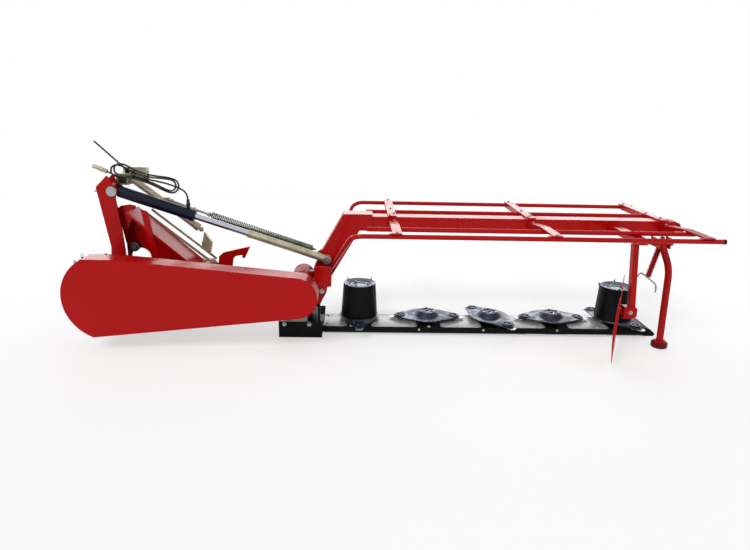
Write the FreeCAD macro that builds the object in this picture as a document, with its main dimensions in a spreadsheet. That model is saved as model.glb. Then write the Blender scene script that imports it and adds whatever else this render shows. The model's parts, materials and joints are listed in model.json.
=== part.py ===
import FreeCAD, Part
import math
import os
import Sketcher

# A disc mower for a tractor's three-point hitch, parked on its inner shoe, its jack and its outer leg.
# +X runs along the cutter bar to its outer end, +Y is the driving direction, +Z is up.
# The origin is the centre of the inner shoe's sole, on the ground. Lengths are millimetres.

Vector = FreeCAD.Vector
Rotation = FreeCAD.Rotation
doc = FreeCAD.newDocument("DiscMower")

# Driving sizes: name, value, what it is
SIZES = [
    ("pivot_x", 4, "axis on which the cutting unit folds up, also the driven pulley's"),
    ("pivot_z", 337, "height of that axis"),
    ("plate", 12, "thickness of the welded plates"),
    ("running_gap", 0.3, "clearance round a pin, shaft or rod"),
    # Belt guard
    ("guard_y", -450, "rear face of the belt guard"),
    ("guard_depth", 120, "depth of the belt guard"),
    ("guard_sheet", 3, "sheet of the belt guard"),
    ("guard_small_radius", 121, "end of the guard round the driven pulley"),
    ("guard_big_radius", 254, "end of the guard round the driving pulley"),
    ("guard_top_angle", 5.2, "fall of the guard's top edge"),
    ("guard_bottom_angle", 6.2, "rise of the guard's bottom edge"),
    ("guard_bend_x", -1000, "where the top edge turns level"),
    ("guard_corner_x", -1168, "upper corner of the guard"),
    ("guard_tip_x", -1148, "lower corner of the guard"),
    # Headstock
    ("beam_y", -210, "rear face of the frame beam"),
    ("beam_side", 100, "side of the frame beam's square tube"),
    ("beam_z", 232, "underside of the frame beam"),
    ("beam_left", -1200, "left end of the frame beam"),
    ("housing_radius", 62, "tube in which the cutting unit's trunnion turns"),
    ("housing_flange_radius", 88, "flange of that tube"),
    ("housing_flange", 30, "thickness of that flange"),
    ("trunnion_radius", 45, "trunnion of the cutting unit"),
    ("hitch_x", -1050, "centre plane of the three-point hitch and of the input shaft"),
    ("hitch_y", 300, "line of the lower hitch pins"),
    ("hitch_z", 330, "height of the lower hitch pins"),
    ("hitch_span", 825, "distance between the shoulders of the lower pins"),
    ("hitch_bar_side", 60, "side of the hitch bar"),
    ("hitch_pin_radius", 14, "lower hitch pin"),
    ("hitch_pin_length", 75, "free length of a lower hitch pin"),
    ("mast_height", 610, "top link pin above the lower pins"),
    ("cross_width", 80, "width of the cross tubes"),
    ("cross_height", 100, "height of the cross tubes"),
    ("cross_z", 250, "underside of the cross tubes"),
    ("left_cross_x", -1200, "left side of the left cross tube"),
    ("right_cross_x", -720, "left side of the right cross tube"),
    # Lift cylinder
    ("mast_pin_x", -1137, "pin that holds the cylinder on the mast"),
    ("mast_pin_z", 861, "height of that pin"),
    ("arm_pin_x", 156, "eye of the rod on the gooseneck"),
    ("arm_pin_z", 442, "height of that eye"),
    ("cylinder_y", 30, "plane of the lift cylinder"),
    ("lift_pin_radius", 15, "pins of the lift cylinder"),
    ("barrel_radius", 35, "outside of the barrel"),
    ("barrel_bore", 28, "bore of the barrel"),
    ("barrel_length", 500, "mast pin to the barrel's open end"),
    ("gland_length", 20, "gland at the barrel's open end"),
    ("eye_width", 72, "width of the barrel's eye"),
    ("eye_radius", 33, "outside of the barrel's eye"),
    ("rod_radius", 20, "chromed rod"),
    ("piston_back", 100, "barrel's open end to the piston's inner face"),
    ("port_back", 40.6, "barrel's open end to the hose port"),
    ("port_radius", 11, "hose port"),
    ("port_height", 32, "top of the hose port above the barrel's line, measured upright"),
    ("piston_length", 30, "length of the piston"),
    ("sleeve_at", 837, "mast pin to the start of the spacer sleeve"),
    ("sleeve_radius", 24, "spacer sleeve on the rod"),
    ("rod_eye_radius", 26, "outside of the rod's eye"),
    ("rod_eye_width", 50, "width of the rod's eye"),
    # Gooseneck and frame over the discs
    ("arm_y", 66, "rear face of the gooseneck"),
    ("arm_plate", 14, "plates of the gooseneck"),
    ("carrier_width", 100, "width of the carrier beam"),
    ("carrier_height", 90, "height of the carrier beam"),
    ("carrier_top", 713.5, "top of the carrier beam and of the rails"),
    ("carrier_start", 300, "inner end of the carrier beam"),
    ("carrier_end", 2400, "outer end of the carrier beam"),
    ("rail_radius", 13.5, "rails of the guard frame"),
    ("rear_rail_y", -430, "rear rail"),
    ("front_rail_y", 690, "front rail"),
    ("inner_rail_rear_y", -242, "inner rail behind the carrier beam"),
    ("inner_rail_front_y", 330, "inner rail ahead of the carrier beam"),
    ("rail_bend_x", 315, "corner where the outer rails turn down"),
    ("rail_bend_radius", 85, "bend of the outer rails"),
    ("rear_rail_end", 2413, "outer end of the rear rail"),
    ("front_rail_end", 2385, "outer end of the front rail"),
    ("inner_rail_start", 400, "inner end of the inner rails"),
    ("crossbar_width", 54, "width of the crossbars"),
    ("crossbar_height", 10, "thickness of the crossbars"),
    ("crossbar_flange", 28, "depth of the crossbars' flanges"),
    ("crossbar_drop", 20, "fall of a crossbar's rear half from the rail to the carrier beam"),
    ("crossbar_overhang", 18, "crossbars beyond the outer rails"),
    ("crossbar_inner_x", 565, "first crossbar"),
    ("crossbar_middle_x", 1457, "second crossbar"),
    ("crossbar_outer_x", 2318, "third crossbar"),
    # Cutter bar
    ("bar_start", -40, "inner end of the cutter bar"),
    ("bar_end", 2190, "outer end of the cutter bar"),
    ("bar_rear", -155, "rear edge of the cutter bar"),
    ("bar_front", 70, "front edge of the cutter bar"),
    ("bar_bottom", 20, "underside of the cutter bar"),
    ("bar_top", 57, "top of the cutter bar"),
    ("skid_thickness", 8, "wear skids under the bar"),
    ("shoe_left", -132, "left side of the inner shoe"),
    ("shoe_width", 266, "width of the inner shoe"),
    ("shoe_rear", -200, "rear face of the inner shoe"),
    ("shoe_height", 104, "height of the inner shoe's rear wall"),
    ("column_x", 74, "upright drive shaft between the pivot and the cutter bar"),
    ("column_flange", 5, "flange under the upright drive"),
    # Discs
    ("disc_1_x", 364, "first disc"),
    ("disc_2_x", 805, "second disc"),
    ("disc_pitch", 410, "pitch of the other discs"),
    ("disc_long", 215, "half the length of a disc"),
    ("disc_short", 127, "half the width of a disc"),
    ("disc_end_radius", 48, "round end of a disc"),
    ("disc_top", 88, "top of a disc's flat crown"),
    ("disc_sheet", 8, "thickness of a disc"),
    ("disc_drop", 8, "fall of a disc from its crown to its edge"),
    ("disc_slant", 119, "turn of the third and fifth disc against the second"),
    ("crown_radius", 118, "flat crown of a disc"),
    ("hub_radius", 79, "hub cover of a disc"),
    ("hub_top", 110, "top of the hub cover"),
    ("bearing_radius", 50, "bearing under a disc"),
    ("knife_reach", 245, "disc centre to a knife's tip"),
    ("knife_length", 95, "length of a knife"),
    ("knife_width", 44, "width of a knife"),
    ("knife_thickness", 4, "thickness of a knife"),
    ("drum_bottom_radius", 116.5, "foot of a drum"),
    ("drum_top_radius", 102.5, "rim of a drum"),
    ("drum_top", 300, "height of a drum's rim"),
    ("drum_dish", 16, "depth of the dish in a drum's top"),
    # Outer end
    ("outrigger_x", 1960, "left side of the outrigger"),
    ("outrigger_width", 64, "width of the outrigger"),
    ("outrigger_height", 36, "height of the outrigger"),
    ("outrigger_y", -335, "rear end of the outrigger"),
    ("post_y", -300, "plane of the swath board's post"),
    ("post_side", 35, "side of the post's square tube"),
    ("post_bottom_x", 2000, "foot of the post"),
    ("post_bottom_z", 268, "height of the post's foot"),
    ("leg_y", -290, "plane of the outer leg"),
    ("leg_radius", 20, "tube of the outer leg"),
    ("leg_pivot_x", 2128, "top of the outer leg"),
    ("leg_pivot_z", 655, "pin of the outer leg"),
    ("leg_foot_x", 2215, "foot of the outer leg"),
    ("leg_foot_radius", 48, "cup under the outer leg"),
    # Parking jack
    ("jack_x", -900, "parking jack"),
    ("jack_side", 50, "inner tube of the jack"),
    ("jack_wall", 8, "wall of the jack's sleeve"),
    ("jack_length", 500, "length of the jack's inner tube"),
    ("jack_foot", 140, "side of the jack's foot plate"),
    ("jack_foot_thickness", 10, "thickness of that plate"),
]


class Size:
    """A length that knows both its value and the sheet expression that gives it."""

    def __init__(self, text, value):
        self.text = text
        self.value = float(value)

    def __add__(self, other):
        other = as_size(other)
        return Size(f"({self.text} + {other.text})", self.value + other.value)

    __radd__ = __add__

    def __sub__(self, other):
        other = as_size(other)
        return Size(f"({self.text} - {other.text})", self.value - other.value)

    def __rsub__(self, other):
        return as_size(other) - self

    def __mul__(self, other):
        other = as_size(other)
        return Size(f"({self.text} * {other.text})", self.value * other.value)

    __rmul__ = __mul__

    def __truediv__(self, other):
        other = as_size(other)
        return Size(f"({self.text} / {other.text})", self.value / other.value)

    def __neg__(self):
        return 0 - self

    def __float__(self):
        return self.value


def as_size(item):
    return item if isinstance(item, Size) else Size(repr(float(item)), item)


def sine(angle):
    return Size(f"sin({angle.text})", math.sin(math.radians(angle.value)))


def cosine(angle):
    return Size(f"cos({angle.text})", math.cos(math.radians(angle.value)))


def tangent(angle):
    return Size(f"tan({angle.text})", math.tan(math.radians(angle.value)))


def arctangent(rise, run):
    ratio = rise / run
    return Size(f"(atan({ratio.text}) / 1 deg)", math.degrees(math.atan(ratio.value)))


def hypotenuse(a, b):
    square = a * a + b * b
    return Size(f"sqrt({square.text})", math.sqrt(square.value))


def cathetus(side, other):
    """Second short side of a right-angled triangle."""
    square = side * side - other * other
    return Size(f"sqrt({square.text})", math.sqrt(square.value))


class Sizes:
    """The sheet's cells by name."""

    def __init__(self, rows):
        self.sheet = doc.addObject("Spreadsheet::Sheet", "Sizes")
        for row, (name, value, note) in enumerate(rows, start=1):
            self.sheet.set(f"A{row}", note)
            self.sheet.set(f"B{row}", str(value))
            self.sheet.setAlias(f"B{row}", name)
        doc.recompute()

    def __getattr__(self, name):
        return Size(f"Sizes.{name}", getattr(self.sheet, name))


size = Sizes(SIZES)
nodes = []


def node(name, item):
    """Names a finished sub-part: its label is also its file's name."""
    item.Label = name
    nodes.append(item)
    return item


def bind(item, **values):
    for name, value in values.items():
        item.setExpression(name, as_size(value).text)


def place(item, x, y, z):
    for letter, value in (("x", x), ("y", y), ("z", z)):
        item.setExpression(f"Placement.Base.{letter}", as_size(value).text)


def box(name, x, y, z, along_x, along_y, along_z):
    item = doc.addObject("Part::Box", name)
    bind(item, Length=along_x, Width=along_y, Height=along_z)
    place(item, x, y, z)
    return item


AXIS_TURN = {"X": Rotation(Vector(0, 1, 0), 90), "Y": Rotation(Vector(1, 0, 0), -90), "Z": Rotation()}


def cylinder(name, axis, x, y, z, radius, length):
    item = doc.addObject("Part::Cylinder", name)
    item.Placement = FreeCAD.Placement(Vector(), AXIS_TURN[axis])
    bind(item, Radius=radius, Height=length)
    place(item, x, y, z)
    return item


def fuse(name, *items):
    item = doc.addObject("Part::MultiFuse", name)
    item.Shapes = list(items)
    item.Refine = True
    return item


def cut(name, base, *tools):
    for count, tool in enumerate(tools, start=1):
        item = doc.addObject("Part::Cut", name if count == len(tools) else f"{name}_step_{count}")
        item.Base = base
        item.Tool = tool
        item.Refine = True
        base = item
    return base


def origin_plane(body, role):
    return next(part for part in body.Origin.OriginFeatures if part.Role == role)


def arc_centre(start, end, radius):
    """Centre of the arc that runs counter-clockwise from start to end, less than half a turn."""
    middle = (start + end) / 2
    chord = end - start
    height = math.sqrt(max(radius ** 2 - (chord.Length / 2) ** 2, 0))
    return middle + Vector(-chord.y, chord.x, 0).normalize() * height


def outline(body, name, plane, corners):
    """A closed sketch, counter-clockwise. A corner's third value is the radius of the arc that leaves it."""
    sketch = body.newObject("Sketcher::SketchObject", name)
    sketch.AttachmentSupport = (origin_plane(body, plane), [""])
    sketch.MapMode = "FlatFace"
    points = [Vector(float(as_size(c[0])), float(as_size(c[1])), 0) for c in corners]
    count = len(corners)
    for index, corner in enumerate(corners):
        start, end = points[index], points[(index + 1) % count]
        if len(corner) == 3:
            radius = float(as_size(corner[2]))
            centre = arc_centre(start, end, radius)
            first = math.atan2(start.y - centre.y, start.x - centre.x)
            last = math.atan2(end.y - centre.y, end.x - centre.x)
            circle = Part.Circle(centre, Vector(0, 0, 1), radius)
            sketch.addGeometry(Part.ArcOfCircle(circle, first, last if last > first else last + 2 * math.pi))
        else:
            sketch.addGeometry(Part.LineSegment(start, end))
    for index, corner in enumerate(corners):
        sketch.addConstraint(Sketcher.Constraint("Coincident", (index - 1) % count, 2, index, 1))
        for kind, value in (("DistanceX", corner[0]), ("DistanceY", corner[1])):
            number = sketch.addConstraint(Sketcher.Constraint(kind, -1, 1, index, 1, float(as_size(value))))
            sketch.setExpression(f"Constraints[{number}]", as_size(value).text)
        if len(corner) == 3:
            radius = as_size(corner[2])
            number = sketch.addConstraint(Sketcher.Constraint("Radius", index, radius.value))
            sketch.setExpression(f"Constraints[{number}]", radius.text)
    return sketch


def padded(name, plane, corners, start, thickness):
    """A plate with the given outline, from start to start plus thickness along the plane's axis."""
    body = doc.addObject("PartDesign::Body", name)
    sketch = outline(body, f"{name}_outline", plane, corners)
    pad = body.newObject("PartDesign::Pad", f"{name}_pad")
    pad.Profile = sketch
    pad.Reversed = plane == "XZ_Plane"
    bind(pad, Length=thickness)
    sketch.Visibility = False
    offset = {"XZ_Plane": "y", "XY_Plane": "z", "YZ_Plane": "x"}[plane]
    body.setExpression(f"Placement.Base.{offset}", as_size(start).text)
    return body


def turned(name, corners, x, y, z, axis="Z"):
    """A solid of revolution: corners are (radius, height) along the given axis."""
    body = doc.addObject("PartDesign::Body", name)
    sketch = outline(body, f"{name}_profile", "XZ_Plane", corners)
    turn = body.newObject("PartDesign::Revolution", f"{name}_turn")
    turn.Profile = sketch
    turn.ReferenceAxis = (sketch, ["V_Axis"])
    turn.Angle = 360
    sketch.Visibility = False
    body.Placement = FreeCAD.Placement(Vector(), AXIS_TURN[axis])
    place(body, x, y, z)
    return body


def bent_tube(name, points, bend_radius, radius):
    """A round bar along straight runs joined by tangent arcs."""
    edges = []
    last = points[0]
    for before, corner, after in zip(points, points[1:], points[2:]):
        to_before = (before - corner).normalize()
        to_after = (after - corner).normalize()
        half = to_before.getAngle(to_after) / 2
        reach = bend_radius / math.tan(half)
        start = corner + to_before * reach
        end = corner + to_after * reach
        middle = (to_before + to_after).normalize()
        summit = corner + middle * (bend_radius / math.sin(half) - bend_radius)
        edges.append(Part.makeLine(last, start))
        edges.append(Part.Arc(start, summit, end).toShape())
        last = end
    edges.append(Part.makeLine(last, points[-1]))
    spine = Part.Wire(edges)
    direction = points[1] - points[0]
    section = Part.Wire(Part.makeCircle(radius, points[0], direction))
    item = doc.addObject("Part::Feature", name)
    item.Shape = spine.makePipeShell([section], True, False)
    return item


# Belt guard: a sheet cover over the two belt pulleys, with a plate behind them

guard_top_x = size.pivot_x + size.guard_small_radius * sine(size.guard_top_angle)
guard_top_z = size.pivot_z + size.guard_small_radius * cosine(size.guard_top_angle)
guard_low_x = size.pivot_x + size.guard_small_radius * sine(size.guard_bottom_angle)
guard_low_z = size.pivot_z - size.guard_small_radius * cosine(size.guard_bottom_angle)
guard_level_z = guard_top_z + (guard_top_x - size.guard_bend_x) * tangent(size.guard_top_angle)
guard_tip_z = guard_low_z - (guard_low_x - size.guard_tip_x) * tangent(size.guard_bottom_angle)
guard_outline = [
    (guard_low_x, guard_low_z, size.guard_small_radius),
    (guard_top_x, guard_top_z),
    (size.guard_bend_x, guard_level_z),
    (size.guard_corner_x, guard_level_z, size.guard_big_radius),
    (size.guard_tip_x, guard_tip_z),
]
guard_back = size.guard_y + size.guard_depth


def make_belt_guard():
    cover = padded("belt_guard", "XZ_Plane", guard_outline, size.guard_y, size.guard_depth)
    doc.recompute()
    pad = cover.Tip
    open_face = max(range(len(pad.Shape.Faces)), key=lambda i: pad.Shape.Faces[i].CenterOfMass.y)
    shell = cover.newObject("PartDesign::Thickness", "belt_guard_sheet")
    shell.Base = (pad, [f"Face{open_face + 1}"])
    shell.Reversed = True
    shell.Mode = 0
    shell.Join = 0
    bind(shell, Value=size.guard_sheet)
    cover.Tip = shell
    node("belt_guard", cover)
    plate = padded("guard_plate_blank", "XZ_Plane", guard_outline, guard_back, size.guard_sheet)
    hole = cylinder("guard_plate_hole", "Y", size.hitch_x, guard_back - 1, size.hitch_z, 30, size.guard_sheet + 2)
    node("guard_back_plate", cut("guard_back_plate", plate, hole))


plate_front = guard_back + size.guard_sheet

# Headstock: beam, cross tubes and hitch bar, hinge housing, input shaft

beam_front = size.beam_y + size.beam_side
neck_x = size.pivot_x - 104
cross_top = size.cross_z + size.cross_height
hitch_bar_rear = size.hitch_y - size.hitch_bar_side / 2
hitch_bar_left = size.hitch_x - size.hitch_span / 2
input_radius = 55


def make_headstock():
    beam = box("frame_beam_tube", size.beam_left, size.beam_y, size.beam_z,
               neck_x - size.beam_left, size.beam_side, size.beam_side)
    saddle = cylinder("frame_beam_saddle", "Y", size.hitch_x, size.beam_y - 1, size.hitch_z,
                      input_radius, size.beam_side + 2)
    node("frame_beam", cut("frame_beam", beam, saddle))

    crosses = []
    for side, left in (("left", size.left_cross_x), ("right", size.right_cross_x)):
        crosses.append(box(f"cross_tube_{side}", left, beam_front, size.cross_z,
                           size.cross_width, hitch_bar_rear - beam_front, size.cross_height))
    bar = box("hitch_bar", hitch_bar_left, hitch_bar_rear, size.hitch_z - size.hitch_bar_side / 2,
              size.hitch_span, size.hitch_bar_side, size.hitch_bar_side)
    lug = box("strut_lug", size.right_cross_x + size.cross_width, 113.3, 300, 100, 33.4, 85.5)
    node("hitch_frame", fuse("hitch_frame", *crosses, bar, lug))

    pins = []
    for side, start in (("left", hitch_bar_left - size.hitch_pin_length),
                        ("right", hitch_bar_left + size.hitch_span)):
        pins.append(cylinder(f"hitch_pin_{side}", "X", start, size.hitch_y, size.hitch_z,
                             size.hitch_pin_radius, size.hitch_pin_length))
    node("hitch_pins", fuse("hitch_pins", *pins))

    tube = cylinder("hinge_tube", "Y", size.pivot_x, plate_front, size.pivot_z,
                    size.housing_radius, beam_front - plate_front)
    flange = cylinder("hinge_flange", "Y", size.pivot_x, size.beam_y - 15, size.pivot_z,
                      size.housing_flange_radius, size.housing_flange)
    neck = box("hinge_neck", neck_x, size.beam_y, size.beam_z + 10, 70, size.beam_side, size.beam_side - 10)
    bore = cylinder("hinge_bore", "Y", size.pivot_x, plate_front - 1, size.pivot_z,
                    size.trunnion_radius + size.running_gap, beam_front - plate_front + 2)
    node("hinge_housing", cut("hinge_housing", fuse("hinge_blank", tube, flange, neck), bore))

    case = cylinder("input_case", "Y", size.hitch_x, plate_front, size.hitch_z, input_radius, 60 - plate_front)
    bore = cylinder("input_bore", "Y", size.hitch_x, plate_front - 1, size.hitch_z,
                    20 + size.running_gap, 62 - plate_front)
    node("input_housing", cut("input_housing", case, bore))
    inner = cylinder("input_inner", "Y", size.hitch_x, guard_back - 20, size.hitch_z, 20, 80 - guard_back)
    stub = cylinder("input_stub", "Y", size.hitch_x, 60, size.hitch_z, 17.4, 90)
    node("input_shaft", fuse("input_shaft", inner, stub))


# Mast: two leaning plates with the cylinder's eye between them

mast_outer = size.cylinder_y - 52
mast_inner_gap = 80
mast_outline = [(-1190, cross_top), (-1110, cross_top), (-1108, 388), (-1089, 420), (-1102, 636), (-1121, 812),
                (-1110, 880), (-1161, 953), (-1231, 884), (-1176, 516)]
mast_far_outline = [(-1190, cross_top), (-1127, cross_top), (-1127, 420), (-1140, 636), (-1159, 812), (-1128, 880),
                    (-1161, 953), (-1231, 884), (-1176, 516)]
left_web = [(-1190, cross_top), (-1180, cross_top), (-1166, 516), (-1216, 884), (-1229, 884), (-1176, 516)]
right_web = [(-1137, 420), (-1127, 420), (-1140, 636), (-1155, 770), (-1166, 770), (-1150, 636)]
mast_far = mast_outer + size.plate + mast_inner_gap
hitch_plate_y = mast_far + size.plate
brace_back = beam_front + 8
head_z = 885
head_side = 70
flange_outer_x = size.right_cross_x + size.cross_width
flange_inner_x = flange_outer_x - size.plate


def make_mast():
    parts = []
    for side, shape, start in (("near", mast_outline, mast_outer), ("far", mast_far_outline, mast_far)):
        parts.append(padded(f"mast_{side}_plate", "XZ_Plane", shape, start, size.plate))
        parts.append(cylinder(f"mast_{side}_ear", "Y", size.mast_pin_x, start, size.mast_pin_z,
                              size.eye_radius + 1, size.plate))
    for side, web in (("left", left_web), ("right", right_web)):
        parts.append(padded(f"mast_{side}_web", "XZ_Plane", web, mast_outer + size.plate, mast_inner_gap))
    bore = cylinder("mast_bore", "Y", size.mast_pin_x, mast_outer - 1, size.mast_pin_z,
                    size.lift_pin_radius + size.running_gap, mast_inner_gap + 2 * size.plate + 2)
    node("mast", cut("mast", fuse("mast_blank", *parts), bore))
    head = cylinder("mast_pin_head", "Y", size.mast_pin_x, mast_outer - 12, size.mast_pin_z, 30, 12)
    shank = cylinder("mast_pin_shank", "Y", size.mast_pin_x, mast_outer - 1, size.mast_pin_z,
                     size.lift_pin_radius, mast_inner_gap + 2 * size.plate + 1)
    node("cylinder_pin", fuse("cylinder_pin", head, shank))

    web = padded("hitch_web", "XZ_Plane",
                 [(size.left_cross_x + size.cross_width, 300), (size.right_cross_x, 300), (size.right_cross_x, cross_top),
                  (flange_inner_x, cross_top), (flange_inner_x, 403), (-1039, 741), (-1060, 752), (-1100, 745),
                  (size.left_cross_x + size.cross_width, 720)], hitch_plate_y, size.plate)
    flange = padded("hitch_flange", "XZ_Plane",
                    [(flange_inner_x, cross_top), (flange_outer_x, cross_top), (flange_outer_x, 411), (-1030, 751),
                     (-1039, 741), (flange_inner_x, 403)], brace_back, hitch_plate_y - brace_back + size.plate)
    arch = cylinder("hitch_arch", "Y", -1035, hitch_plate_y - 1, 425, 62, size.plate + 2)
    slot = box("hitch_slot", -1097, hitch_plate_y - 1, 299, 124, size.plate + 2, 126)
    node("hitch_plate", cut("hitch_plate", fuse("hitch_plate_blank", web, flange), arch, slot))
    brace = padded("mast_brace", "XZ_Plane", [(-862, 240), (-824, 240), (-903, 756), (-944, 771)],
                   beam_front, brace_back - beam_front)
    node("mast_brace", brace)
    boss = cylinder("swing_boss", "Y", -1063, hitch_plate_y - 26, 500, 30, 26)
    node("swing_boss", boss)

    head_tube = box("mast_head_tube", -1145, hitch_plate_y, head_z, head_side, 118, head_side)
    hollow = box("mast_head_hollow", -1137, hitch_plate_y - 1, head_z + 8, head_side - 16, 100, head_side - 16)
    node("mast_head", cut("mast_head", head_tube, hollow))
    top_z = size.hitch_z + size.mast_height
    ear_plate = box("top_ear_plate", -1145, hitch_plate_y + 118, head_z, 145, 12, top_z + 42 - head_z)
    ears = [box(f"top_ear_{side}", size.hitch_x + shift, hitch_plate_y + 130, top_z - 45, 12, 75, 80)
            for side, shift in (("left", -38), ("right", 26))]
    bore = cylinder("top_link_hole", "X", size.hitch_x - 39, hitch_plate_y + 170, top_z, 12.9, 78)
    node("top_link_ears", cut("top_link_ears", fuse("top_ears_blank", ear_plate, *ears), bore))


# Things on the headstock: break-away strut, transport hook, spring anchor, parking jack

strut_y = 130


def slanted(name, start, end, radius):
    """A round bar between two points of one plane of constant y."""
    item = doc.addObject("Part::Cylinder", name)
    start_x, y, start_z = start
    end_x, end_z = end
    run = as_size(end_x) - start_x
    fall = as_size(start_z) - end_z
    item.Placement = FreeCAD.Placement(Vector(), Rotation(Vector(0, 1, 0), 100))
    bind(item, Radius=radius, Height=hypotenuse(run, fall))
    place(item, start_x, y, start_z)
    item.setExpression("Placement.Rotation.Angle", (90 + arctangent(fall, run)).text)
    return item


def make_strut():
    tube = slanted("strut_bar_tube", (-1060, strut_y, 914), (-690, 628), 23)
    nut = slanted("strut_end_nut", (-694, strut_y, 631), (-668, 611), 26)
    block = box("strut_block", -878, strut_y - 14, 757, 34, 28, 48)
    ear = box("strut_head_ear", -1075, strut_y - 12, head_z + 3, 30, 24, 36)
    node("strut_tube", fuse("strut_tube", tube, nut, block, ear))
    node("spring_anchor", slanted("spring_anchor", (-841, strut_y, 785), (-604, 701), 8))
    bars = []
    for side, y, shift_x, shift_z in (("near", strut_y - 25, 0, 0), ("far", strut_y + 17, 16, 20)):
        bars.append(padded(f"strut_bar_{side}", "XZ_Plane",
                           [(shift_x - 595, shift_z + 379), (shift_x - 585, shift_z + 391),
                            (shift_x - 980, shift_z + 710), (shift_x - 990, shift_z + 698)], y, 8))
    foot = cylinder("strut_foot_pin", "Y", -585, strut_y - 25, 397, 11, 50)
    tab = padded("strut_tab_plate", "XZ_Plane", [(-660, 482), (-607, 437), (-588, 520), (-636, 590)],
                 strut_y - 17, 34)
    node("strut_bars", fuse("strut_bars", *bars, foot, tab))


def make_hook():
    plate = padded("hook_plate", "XZ_Plane",
                   [(-510, 290), (-445, 290), (-420, 436), (-414, 472), (-395, 486), (-358, 492), (-363, 476),
                    (-345, 472), (-309, 546), (-380, 530), (-474, 506), (-503, 481), (-506, 442)], -84, 14)
    spacer = box("hook_spacer", -505, beam_front, 292, 56, -84 - beam_front, 38)
    node("transport_hook", fuse("transport_hook", plate, spacer))


jack_sleeve_side = size.jack_side + 2 * size.jack_wall + 1
jack_y = hitch_bar_rear - jack_sleeve_side / 2


def make_jack():
    half = jack_sleeve_side / 2
    outer = box("jack_outer", size.jack_x - half, jack_y - half, 240, jack_sleeve_side, jack_sleeve_side, 160)
    inside = size.jack_side / 2 + 0.5
    hollow = box("jack_hollow", size.jack_x - inside, jack_y - inside, 239, 2 * inside, 2 * inside, 162)
    node("jack_sleeve", cut("jack_sleeve", outer, hollow))
    tube = box("jack_tube", size.jack_x - size.jack_side / 2, jack_y - size.jack_side / 2, size.jack_foot_thickness,
               size.jack_side, size.jack_side, size.jack_length)
    foot = box("jack_foot_plate", size.jack_x - size.jack_foot / 2, jack_y - size.jack_foot / 2, 0,
               size.jack_foot, size.jack_foot, size.jack_foot_thickness)
    node("parking_jack", fuse("parking_jack", tube, foot))


# Lift cylinder: turned parts on the line from the mast pin to the gooseneck's pin

lift_run = size.arm_pin_x - size.mast_pin_x
lift_fall = size.mast_pin_z - size.arm_pin_z
lift_angle = arctangent(lift_fall, lift_run)
lift_length = hypotenuse(lift_run, lift_fall)


piston_at = size.barrel_length - size.piston_back
port_at = size.barrel_length - size.port_back
port_x = size.mast_pin_x + port_at * lift_run / lift_length
port_line_z = size.mast_pin_z - port_at * lift_fall / lift_length
port_top = port_line_z + size.barrel_radius + size.port_height


def on_lift_line(name, profile):
    """A turned part whose heights run from the mast pin towards the gooseneck."""
    body = turned(name, profile, size.mast_pin_x, size.cylinder_y, size.mast_pin_z)
    body.Placement = FreeCAD.Placement(Vector(), Rotation(Vector(0, 1, 0), 100))
    body.setExpression("Placement.Rotation.Angle", (90 + lift_angle).text)
    return body


def make_cylinder():
    bore_start = 90
    gland_face = size.barrel_length - size.gland_length
    rod_hole = size.rod_radius + size.running_gap
    tube = on_lift_line("barrel_tube", [
        (0, size.eye_radius - 8), (size.barrel_radius, size.eye_radius - 8), (size.barrel_radius, size.barrel_length - 34),
        (size.barrel_radius + 2, size.barrel_length - 34), (size.barrel_radius + 2, size.barrel_length),
        (rod_hole, size.barrel_length), (rod_hole, gland_face), (size.barrel_bore, gland_face),
        (size.barrel_bore, bore_start), (0, bore_start)])
    eye = cylinder("barrel_eye", "Y", size.mast_pin_x, size.cylinder_y - size.eye_width / 2, size.mast_pin_z,
                   size.eye_radius, size.eye_width)
    bore = cylinder("barrel_eye_bore", "Y", size.mast_pin_x, size.cylinder_y - size.eye_width / 2 - 1, size.mast_pin_z,
                    size.lift_pin_radius + size.running_gap, size.eye_width + 2)
    port = cylinder("barrel_port", "Z", port_x, size.cylinder_y, port_line_z + size.barrel_radius - 8,
                    size.port_radius, size.port_height + 8)
    blank = fuse("barrel_blank", tube, eye)
    node("lift_barrel", cut("lift_barrel", fuse("barrel_with_port", blank, port), bore,
                            on_lift_line("barrel_clear", [(0, bore_start), (size.barrel_bore, bore_start),
                                                          (size.barrel_bore, gland_face), (0, gland_face)])))
    node("lift_rod", on_lift_line("lift_rod", [
        (0, piston_at), (size.barrel_bore - size.running_gap, piston_at),
        (size.barrel_bore - size.running_gap, piston_at + size.piston_length),
        (size.rod_radius, piston_at + size.piston_length), (size.rod_radius, size.sleeve_at), (0, size.sleeve_at)]))
    sleeve = on_lift_line("rod_sleeve_tube", [(0, size.sleeve_at), (size.sleeve_radius, size.sleeve_at),
                                              (size.sleeve_radius, lift_length - 12), (0, lift_length - 12)])
    eye = cylinder("rod_eye", "Y", size.arm_pin_x, size.cylinder_y - size.rod_eye_width / 2, size.arm_pin_z,
                   size.rod_eye_radius, size.rod_eye_width)
    shank_start = size.cylinder_y - size.rod_eye_width / 2 - 8
    pin = cylinder("rod_pin", "Y", size.arm_pin_x, shank_start, size.arm_pin_z, size.lift_pin_radius,
                   size.arm_y - 10 - 0.6 - shank_start)
    node("rod_sleeve", fuse("rod_sleeve", sleeve, eye, pin))


# Cutting unit: drive housing, gooseneck, carrier beam, rails and crossbars

carrier_y = size.arm_y + size.arm_plate
carrier_bottom = size.carrier_top - size.carrier_height
arm_far = carrier_y + size.carrier_width
rail_z = size.carrier_top - size.rail_radius


column_y = -60
lower_plate_y = beam_front + 6
lower_plate_back = lower_plate_y + size.plate


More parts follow.
